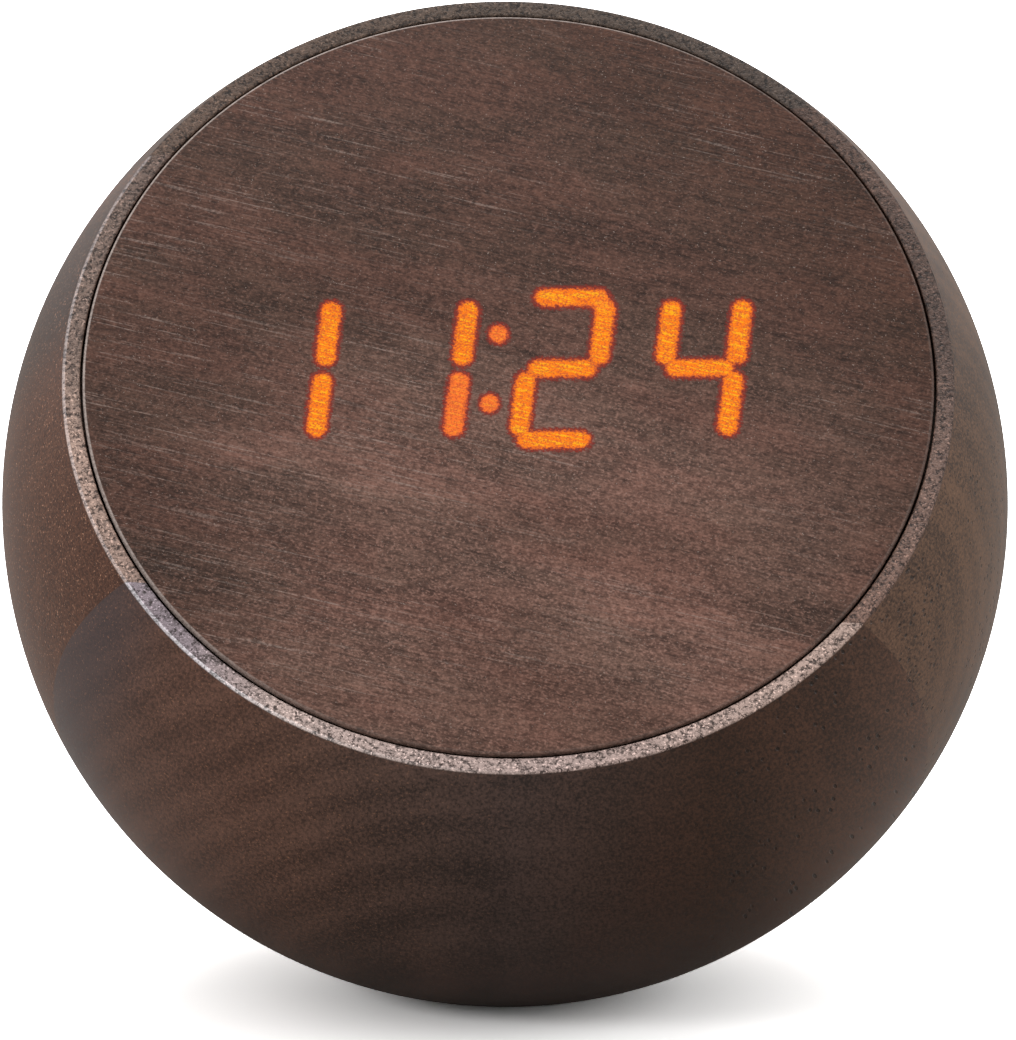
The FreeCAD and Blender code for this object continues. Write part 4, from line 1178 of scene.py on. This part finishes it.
@dataclass
class Display:
    """Where the light bars lie behind the veneer, and which of them are lit."""

    left: float = 0.00125
    rise: float = 0.0015
    pitch: float = 0.0122
    width: float = 0.0063
    height: float = 0.0073
    slant: float = math.radians(7.0)
    bar_reach: float = 0.0024
    post_reach: float = 0.0024
    glow_radius: float = 0.00102
    dot_radius: float = 0.00092
    dot_reach: float = 0.00013
    middle_reach: float = 0.00215
    dot_rise: float = 0.00355
    dot_power: float = 0.45
    corner_power: float = 0.8
    shown: tuple[str, ...] = ("bc", "bc", "abged", "fgbc")
    dim_bars: dict[tuple[int, str], float] = field(default_factory=lambda: {(1, "c"): 0.45})

    BARS = {"a": (0, 2, True), "b": (1, 1, False), "c": (1, -1, False), "d": (0, -2, True),
            "e": (-1, -1, False), "f": (-1, 1, False), "g": (0, 0, True)}

    def point(self, x: float, y: float) -> Vector:
        """A point of the display in the face frame, moved by the slant.

        Args:
            x: place across, from the display's middle.
            y: place up.

        Returns:
            The point.
        """
        return Vector((x + y * math.tan(self.slant) - self.left, y + self.rise, 0))

    def lines(self) -> list[tuple[Vector, Vector, float, float]]:
        """The lit bars, with the dots as very short bars and a digit's closed corner as a slanting one.

        Returns:
            Start, end, glow radius and power of each.
        """
        found = []
        for place, letters in enumerate(self.shown):
            middle = (place - (len(self.shown) - 1) / 2) * self.pitch
            for letter in letters:
                column, line, level = self.BARS[letter]
                x = middle + column * self.width / 2
                y = line * self.height / 2
                reach = self.middle_reach if letter == "g" else self.bar_reach
                run = (reach, 0) if level else (0, self.post_reach)
                found.append((self.point(x - run[0], y - run[1]), self.point(x + run[0], y + run[1]),
                              self.glow_radius, self.dim_bars.get((place, letter), 1.0)))
            if "a" in letters and "b" in letters:
                found.append((self.point(middle + self.bar_reach, self.height),
                              self.point(middle + self.width / 2, self.height / 2 + self.post_reach),
                              self.glow_radius, self.corner_power))
        for side in (-1, 1):
            ends = [self.point(0, side * self.dot_rise + end * self.dot_reach) for end in (-1, 1)]
            found.append((*ends, self.dot_radius, self.dot_power))
        return found

    def helper(self, level: float) -> bpy.types.Object:
        """An object with an edge along every lit bar.

        Args:
            level: level of the edges in the face frame.

        Returns:
            The object.
        """
        mesh = bmesh.new()
        lines = self.lines()
        for start, end, _, _ in lines:
            ends = [mesh.verts.new(STANCE.face @ (point + Vector((0, 0, level)))) for point in (start, end)]
            mesh.edges.new(ends)
        item = as_object("bar_lines", mesh)
        for name, column in (("reach", 2), ("power", 3)):
            values = item.data.attributes.new(name, "FLOAT", "EDGE")
            for entry, line in zip(values.data, lines):
                entry.value = line[column]
        return item


@dataclass
class Face:
    """The veneered disc, with a fine mesh over the display for the glow of its bars."""

    radius: float = 0.03790
    top: float = 0.0216
    bottom: float = 0.0210
    edge_round: float = 0.00025
    cell: float = 0.00020
    margin: float = 0.0022
    side_margin: float = 0.001
    edge_steps: int = 4
    farthest: float = 3.0
    segments: int = 288
    display: Display = field(default_factory=Display)
    wood: VeneerWood = field(default_factory=VeneerWood)

    def grid(self, mesh: bmesh.types.BMesh) -> None:
        """Add the fine mesh over the display.

        Args:
            mesh: the edit mesh.
        """
        aside = (len(self.display.shown) - 1) / 2
        half_x = aside * self.display.pitch + self.display.width / 2 + self.margin + self.side_margin
        half_y = self.display.height + self.margin
        centre = self.display.point(0, 0)
        columns = round(2 * half_x / self.cell)
        rows = round(2 * half_y / self.cell)
        points = [[mesh.verts.new((centre.x - half_x + 2 * half_x * i / columns,
                                   centre.y - half_y + 2 * half_y * j / rows, self.top))
                   for i in range(columns + 1)] for j in range(rows + 1)]
        for j in range(rows):
            for i in range(columns):
                mesh.faces.new((points[j][i], points[j][i + 1], points[j + 1][i + 1], points[j + 1][i]))

    def build(self) -> bpy.types.Object:
        """Build the disc and store the spread and power of the nearest bar on its points.

        Returns:
            The disc.
        """
        mesh = bmesh.new()
        self.grid(mesh)
        border = [edge for edge in mesh.edges if len(edge.link_faces) == 1]
        arc = [math.pi / 2 * step / self.edge_steps for step in range(self.edge_steps + 1)]
        line = [(self.radius - self.edge_round * (1 - math.sin(a)),
                 self.top - self.edge_round * (1 - math.cos(a))) for a in arc] + [(self.radius, self.bottom)]
        rings = [ring(mesh, radius, height, self.segments) for radius, height in line]
        circle = [mesh.edges.new((rings[0][step], rings[0][(step + 1) % self.segments]))
                  for step in range(self.segments)]
        bmesh.ops.triangle_fill(mesh, use_beauty=True, use_dissolve=False, edges=border + circle)
        for upper, lower in zip(rings, rings[1:]):
            for step in range(self.segments):
                after = (step + 1) % self.segments
                mesh.faces.new((upper[step], lower[step], lower[after], upper[after]))
        mesh.faces.new(list(reversed(rings[-1])))
        bmesh.ops.recalc_face_normals(mesh, faces=mesh.faces)
        mesh.transform(STANCE.face)
        disc = as_object("face_disc", mesh)
        lines = self.display.helper(self.top)
        self.glow_tree(disc, lines)
        discard(lines)
        smooth(disc)
        return disc

    def glow_tree(self, disc: bpy.types.Object, lines: bpy.types.Object) -> None:
        """Measure each point's distance to the nearest bar with a node tree, and settle it.

        Args:
            disc: the face's disc.
            lines: the object with the bars' edges.
        """
        tree = bpy.data.node_groups.new("bar_glow", "GeometryNodeTree")
        tree.interface.new_socket("Geometry", in_out="INPUT", socket_type="NodeSocketGeometry")
        bars = tree.interface.new_socket("Bars", in_out="INPUT", socket_type="NodeSocketObject")
        far = tree.interface.new_socket("Farthest", in_out="INPUT", socket_type="NodeSocketFloat")
        tree.interface.new_socket("Geometry", in_out="OUTPUT", socket_type="NodeSocketGeometry")
        links = tree.links
        group_in, group_out = add_node(tree, "NodeGroupInput"), add_node(tree, "NodeGroupOutput")
        info = add_node(tree, "GeometryNodeObjectInfo", transform_space="ORIGINAL")
        links.new(group_in.outputs["Bars"], info.inputs["Object"])
        near = add_node(tree, "GeometryNodeProximity", target_element="EDGES")
        nearest = add_node(tree, "GeometryNodeSampleNearest", domain="EDGE")
        for reader in (near, nearest):
            links.new(info.outputs["Geometry"], reader.inputs[0])
        sampled = {}
        for name in ("reach", "power"):
            named = add_node(tree, "GeometryNodeInputNamedAttribute", data_type="FLOAT")
            named.inputs["Name"].default_value = name
            sample = add_node(tree, "GeometryNodeSampleIndex", data_type="FLOAT", domain="EDGE")
            links.new(info.outputs["Geometry"], sample.inputs[0])
            links.new(named.outputs[0], sample.inputs[1])
            links.new(nearest.outputs[0], sample.inputs["Index"])
            sampled[name] = sample.outputs[0]
        spread = add_node(tree, "ShaderNodeMath", operation="DIVIDE")
        links.new(near.outputs["Distance"], spread.inputs[0])
        links.new(sampled["reach"], spread.inputs[1])
        held = add_node(tree, "ShaderNodeMath", operation="MINIMUM")
        links.new(spread.outputs[0], held.inputs[0])
        links.new(group_in.outputs["Farthest"], held.inputs[1])
        flow = group_in.outputs["Geometry"]
        for name, value in (("bar_spread", held.outputs[0]), ("bar_power", sampled["power"])):
            store = add_node(tree, "GeometryNodeStoreNamedAttribute", data_type="FLOAT", domain="POINT")
            store.inputs["Name"].default_value = name
            links.new(flow, store.inputs[0])
            links.new(value, store.inputs["Value"])
            flow = store.outputs[0]
        real = add_node(tree, "GeometryNodeRealizeInstances")
        paint = add_node(tree, "GeometryNodeSetMaterial")
        paint.inputs["Material"].default_value = self.wood.make()
        links.new(flow, real.inputs[0])
        links.new(real.outputs[0], paint.inputs[0])
        links.new(paint.outputs[0], group_out.inputs[0])
        modifier = disc.modifiers.new("bar_glow", "NODES")
        modifier.node_group = tree
        modifier[bars.identifier] = lines
        modifier[far.identifier] = self.farthest
        settle(disc)

    def dress(self, disc: bpy.types.Object) -> None:
        """Let the disc stand for the veneer and its windows.

        Args:
            disc: the face's disc.
        """
        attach(disc, "ball")
        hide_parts("face_veneer", "lit_segments", "unlit_segments")
        LOG.info("%s: %d faces", disc.name, len(disc.data.polygons))


@dataclass
class Fittings:
    """The solids that stay as they are and get their finish here, by material slot of the record."""

    finishes: dict[str, object] = field(default_factory=dict)

    REPLACED = {"shell_block_lower", "shell_block_middle", "shell_block_upper", "face_veneer",
                "lit_segments", "unlit_segments"}

    def dress(self) -> None:
        """Give every solid that is still shown its finish."""
        slots = {entry["node"]: entry["material_slot"] for entry in frame["record"]["subparts"]}
        made = {slot: finish.make() for slot, finish in self.finishes.items()}
        for node, item in frame["nodes"].items():
            if node in self.REPLACED:
                continue
            for slot in item.material_slots:
                slot.material = made[slots[node]]
            LOG.info("%s: %s", node, slots[node])


# Stage

@dataclass
class Studio:
    """White floor, soft lights and the camera at the photograph's angle."""

    elevation: float = math.radians(12.2)
    swing: float = math.radians(1.06)
    distance: float = 3.8
    frame_height_px: float = 1040.0
    frame_width_px: float = 1016.0
    ball_px: Vector = field(default_factory=lambda: Vector((505.0, 504.0)))
    px_per_m: float = 11180.0
    sensor_mm: float = 36.0
    clip_end: float = 20.0
    room: Colour = (1.0, 0.99, 0.98)
    ambient: float = 0.85
    floor_side: float = 8.0
    floor_shown: Colour = (2.3, 2.3, 2.3)
    floor_thrown: Colour = (0.35, 0.33, 0.31)

    LAMPS = (("top_box", (0.0, 0.25, 1.1), (1.0, 0.8), 8.0),
             ("left_box", (-0.9, -0.45, 0.25), (0.4, 0.8), 0.3),
             ("right_box", (0.95, -0.15, 0.30), (0.4, 0.8), 3.0),
             ("rim_box", (-0.72, -0.70, 0.42), (0.22, 0.22), 2.0))

    def camera(self) -> None:
        """Place the camera so that the ball falls where it does in the picture."""
        data = bpy.data.cameras.new("camera")
        data.sensor_width = self.sensor_mm
        data.lens = self.sensor_mm * self.distance / (self.frame_height_px / self.px_per_m)
        data.clip_end = self.clip_end
        item = bpy.data.objects.new("camera", data)
        bpy.context.scene.collection.objects.link(item)
        aside = Matrix.Rotation(-self.swing, 3, "Z")
        back = aside @ Vector((0, -math.cos(self.elevation), math.sin(self.elevation)))
        up = aside @ Vector((0, math.sin(self.elevation), math.cos(self.elevation)))
        across = (self.frame_width_px / 2 - self.ball_px.x) / self.px_per_m
        drop = (self.ball_px.y - self.frame_height_px / 2) / self.px_per_m
        target = STANCE.centre + aside @ Vector((across, 0, 0)) + up * drop
        item.location = target + back * self.distance
        item.rotation_euler = back.to_track_quat("Z", "Y").to_euler()
        bpy.context.scene.camera = item

    def floor(self) -> None:
        """A wide white floor that throws back less light than it shows."""
        mesh = bmesh.new()
        bmesh.ops.create_grid(mesh, x_segments=1, y_segments=1, size=self.floor_side / 2)
        floor = as_object("floor", mesh)
        graph = Graph("floor_white")
        tree = graph.tree
        shown = graph.add("ShaderNodeBsdfDiffuse")
        shown.inputs["Color"].default_value = (*self.floor_shown, 1)
        thrown = graph.add("ShaderNodeBsdfDiffuse")
        thrown.inputs["Color"].default_value = (*self.floor_thrown, 1)
        path = graph.add("ShaderNodeLightPath")
        mix = graph.add("ShaderNodeMixShader")
        tree.links.new(path.outputs["Is Camera Ray"], mix.inputs[0])
        tree.links.new(thrown.outputs[0], mix.inputs[1])
        tree.links.new(shown.outputs[0], mix.inputs[2])
        output = next(node for node in tree.nodes if node.type == "OUTPUT_MATERIAL")
        tree.links.new(mix.outputs[0], output.inputs[0])
        tree.nodes.remove(graph.surface)
        floor.data.materials.append(graph.material)

    def lamp(self, name: str, place: Triple, size: Span, power: float) -> None:
        """Hang a soft box that faces the ball.

        Args:
            name: name of the light.
            place: where it hangs.
            size: its width and height.
            power: its power in watts.
        """
        data = bpy.data.lights.new(name, "AREA")
        data.shape = "RECTANGLE"
        data.size, data.size_y = size
        data.energy = power
        item = bpy.data.objects.new(name, data)
        bpy.context.scene.collection.objects.link(item)
        item.location = place
        item.rotation_euler = (Vector(place) - STANCE.centre).to_track_quat("Z", "Y").to_euler()

    def light(self) -> None:
        """Even room light with large soft boxes over, beside and before the ball."""
        world = bpy.data.worlds.new("room")
        world.use_nodes = True
        room = world.node_tree.nodes["Background"]
        room.inputs["Color"].default_value = (*self.room, 1)
        room.inputs["Strength"].default_value = self.ambient
        bpy.context.scene.world = world
        for lamp in self.LAMPS:
            self.lamp(*lamp)

    def build(self) -> None:
        """Set up camera, floor and lights."""
        bpy.context.scene.view_settings.view_transform = "Standard"
        self.camera()
        self.floor()
        self.light()


def woods() -> dict[Side, BlockWood]:
    """The wood of each block: the middle one runs across the face, the others front to back.

    Returns:
        The wood for each side.
    """
    return {
        Side.MIDDLE: BlockWood(
            "middle_block_wood", face_turn(0, 0, 4), from_srgb(48, 32, 25), from_srgb(104, 76, 60),
            from_srgb(98, 62, 48), pith=(-38.0, 20.0), ring_spacing=3.4, ring_depth=0.16, pore_share=0.6,
            pore_ends=True, pore_side=(28.0, 34.0), speck=0.85, speck_colour=from_srgb(190, 144, 118),
            speck_ends=(1.0, 0.2), rim_rise=(0.64, 1.26), tint=from_srgb(46, 33, 28), tint_share=0.75,
            tint_line=(-22.0, -32.0), tint_rise=(13.0, 12.0, 4.0),
            warm_side=(-28.0, -38.0), shift=(3, 5, 1), mottle=0.42,
            # the ramp across the face below shifts tone and paints light and shade
            light_and_tone_across=((0.0, (1.02, 0.97, 0.93)), (0.2, (1.04, 1.01, 1.00)), (0.9, (0.96, 0.97, 0.94)),
                  (1.0, (0.98, 0.98, 0.88))),
            rim=((0.0, from_srgb(154, 130, 118)), (0.12, from_srgb(120, 99, 90)),
                 (0.75, from_srgb(94, 74, 65)), (0.9, from_srgb(104, 80, 70)), (1.0, from_srgb(98, 78, 70))),
            # the ramp below paints a highlight along the rim's outer edge
            painted_arris_highlight=((0.0, (0.22, 0.21, 0.22)), (0.3, (0.06, 0.06, 0.06)), (0.6, (0.0, 0.0, 0.0)))),
        Side.LOWER: BlockWood(
            "lower_block_wood", face_turn(22, 86, 3), from_srgb(48, 34, 29), from_srgb(104, 76, 66),
            from_srgb(116, 72, 56), pith=(-150.0, 10.0), ring_spacing=3.4, ring_depth=0.20,
            ring_fade=(-14.0, 6.0), pore_share=0.35, speck=0.42, speck_colour=from_srgb(176, 124, 96),
            speck_ends=(1.0, 0.25),
            shift=(11, 2, 6), mottle=0.34, warm_side=(-6.0, -28.0), warm_share=0.28,
            # the ramp across the face below paints shade in the bowl, deepest at its right, and a sheen at
            # its right silhouette, besides tone
            light_and_tone_across=((0.0, (1.00, 1.04, 1.04)), (0.25, (1.00, 1.04, 1.00)), (0.50, (0.66, 0.76, 0.84)),
                  (0.72, (0.44, 0.37, 0.27)), (0.86, (0.68, 0.58, 0.44)), (1.0, (1.20, 1.06, 0.84))),
            tint=from_srgb(66, 58, 62), tint_share=0.65, tint_line=(-28.0, -37.0),
            rim=((0.0, from_srgb(132, 120, 128)), (0.14, from_srgb(132, 120, 126)),
                 (0.24, from_srgb(180, 160, 153)), (0.55, from_srgb(170, 149, 143)),
                 (0.80, from_srgb(176, 152, 142)), (1.0, from_srgb(160, 136, 124))),
            # the ramp below paints a highlight along the rim's outer edge
            painted_arris_highlight=((0.0, (0.35, 0.35, 0.36)), (0.16, (0.5, 0.5, 0.52)), (0.30, (0.15, 0.15, 0.15)),
                  (0.55, (0.0, 0.0, 0.0)))),
        Side.UPPER: BlockWood(
            "upper_block_wood", face_turn(0, 88, -8), from_srgb(40, 29, 23), from_srgb(82, 62, 49),
            from_srgb(84, 54, 38), pith=(90.0, -20.0), ring_spacing=5.0, ring_depth=0.25, pore_share=0.3,
            speck=0.42, shift=(4, 13, 2), mottle=0.30,
            rim=((0.0, from_srgb(96, 76, 65)), (0.5, from_srgb(79, 66, 57)),
                 (1.0, from_srgb(61, 51, 46)))),
    }


def finishes() -> dict[str, object]:
    """The finish of every material slot whose solids stay.

    Returns:
        The finish for each slot's name.
    """
    return {
        "foot_rubber": Moulded("foot_rubber", (0.020, 0.020, 0.020), 0.75, 2.0, 0.00005),
        "backing_wood": BlockWood("backing_board", face_turn(0, 0, 0), from_srgb(38, 28, 22),
                                  from_srgb(64, 48, 38), from_srgb(60, 40, 30),
                                  ((0.0, from_srgb(64, 48, 38)), (1.0, from_srgb(64, 48, 38))),
                                  rim_share=0.0),
        "diffuser": Translucent("diffuser_plastic"),
        "white_plastic": Moulded("white_plastic", (0.74, 0.74, 0.71), 0.42),
        "led_die": Moulded("light_die", (0.70, 0.52, 0.08), 0.3),
        "green_board": Moulded("circuit_board", (0.010, 0.080, 0.030), 0.32, 1.2),
        "steel": Metal("plated_steel", (0.55, 0.55, 0.56), 0.30),
        "tin_plate": Metal("tin_plate", (0.66, 0.66, 0.65), 0.26),
        "chip_black": Moulded("chip_resin", (0.018, 0.018, 0.019), 0.5),
        "frame_black": Moulded("frame_plastic", (0.022, 0.022, 0.022), 0.5),
        "foam_tape": Moulded("foam_tape", (0.05, 0.05, 0.05), 0.85, 1.5, 0.0001),
        "cell_foil": Metal("cell_foil", (0.62, 0.63, 0.65), 0.36, (1.0, 1.0, 1.0), 1.0, 0.00004),
        "cast_weight": Metal("cast_iron", (0.16, 0.16, 0.16), 0.58, (1.0, 1.0, 1.0), 2.0, 0.00012),
        "cover_black": Moulded("cover_plastic", from_srgb(44, 37, 33), 0.46, 3.4, 0.000025),
        "key_grey": Moulded("key_plastic", from_srgb(74, 66, 60), 0.38, 4.0, 0.00001),
        "red_wire": Moulded("red_wire", (0.45, 0.02, 0.015), 0.45),
        "black_wire": Moulded("black_wire", (0.02, 0.02, 0.02), 0.45),
    }


def main() -> None:
    """Build the stage and every piece in order."""
    logging.basicConfig(level=logging.INFO, format="%(name)s %(message)s")
    Studio().build()
    shell = Shell(woods=woods())
    shell.dress(shell.build())
    face = Face()
    face.dress(face.build())
    Fittings(finishes()).dress()


if __name__ == "__main__":
    main()
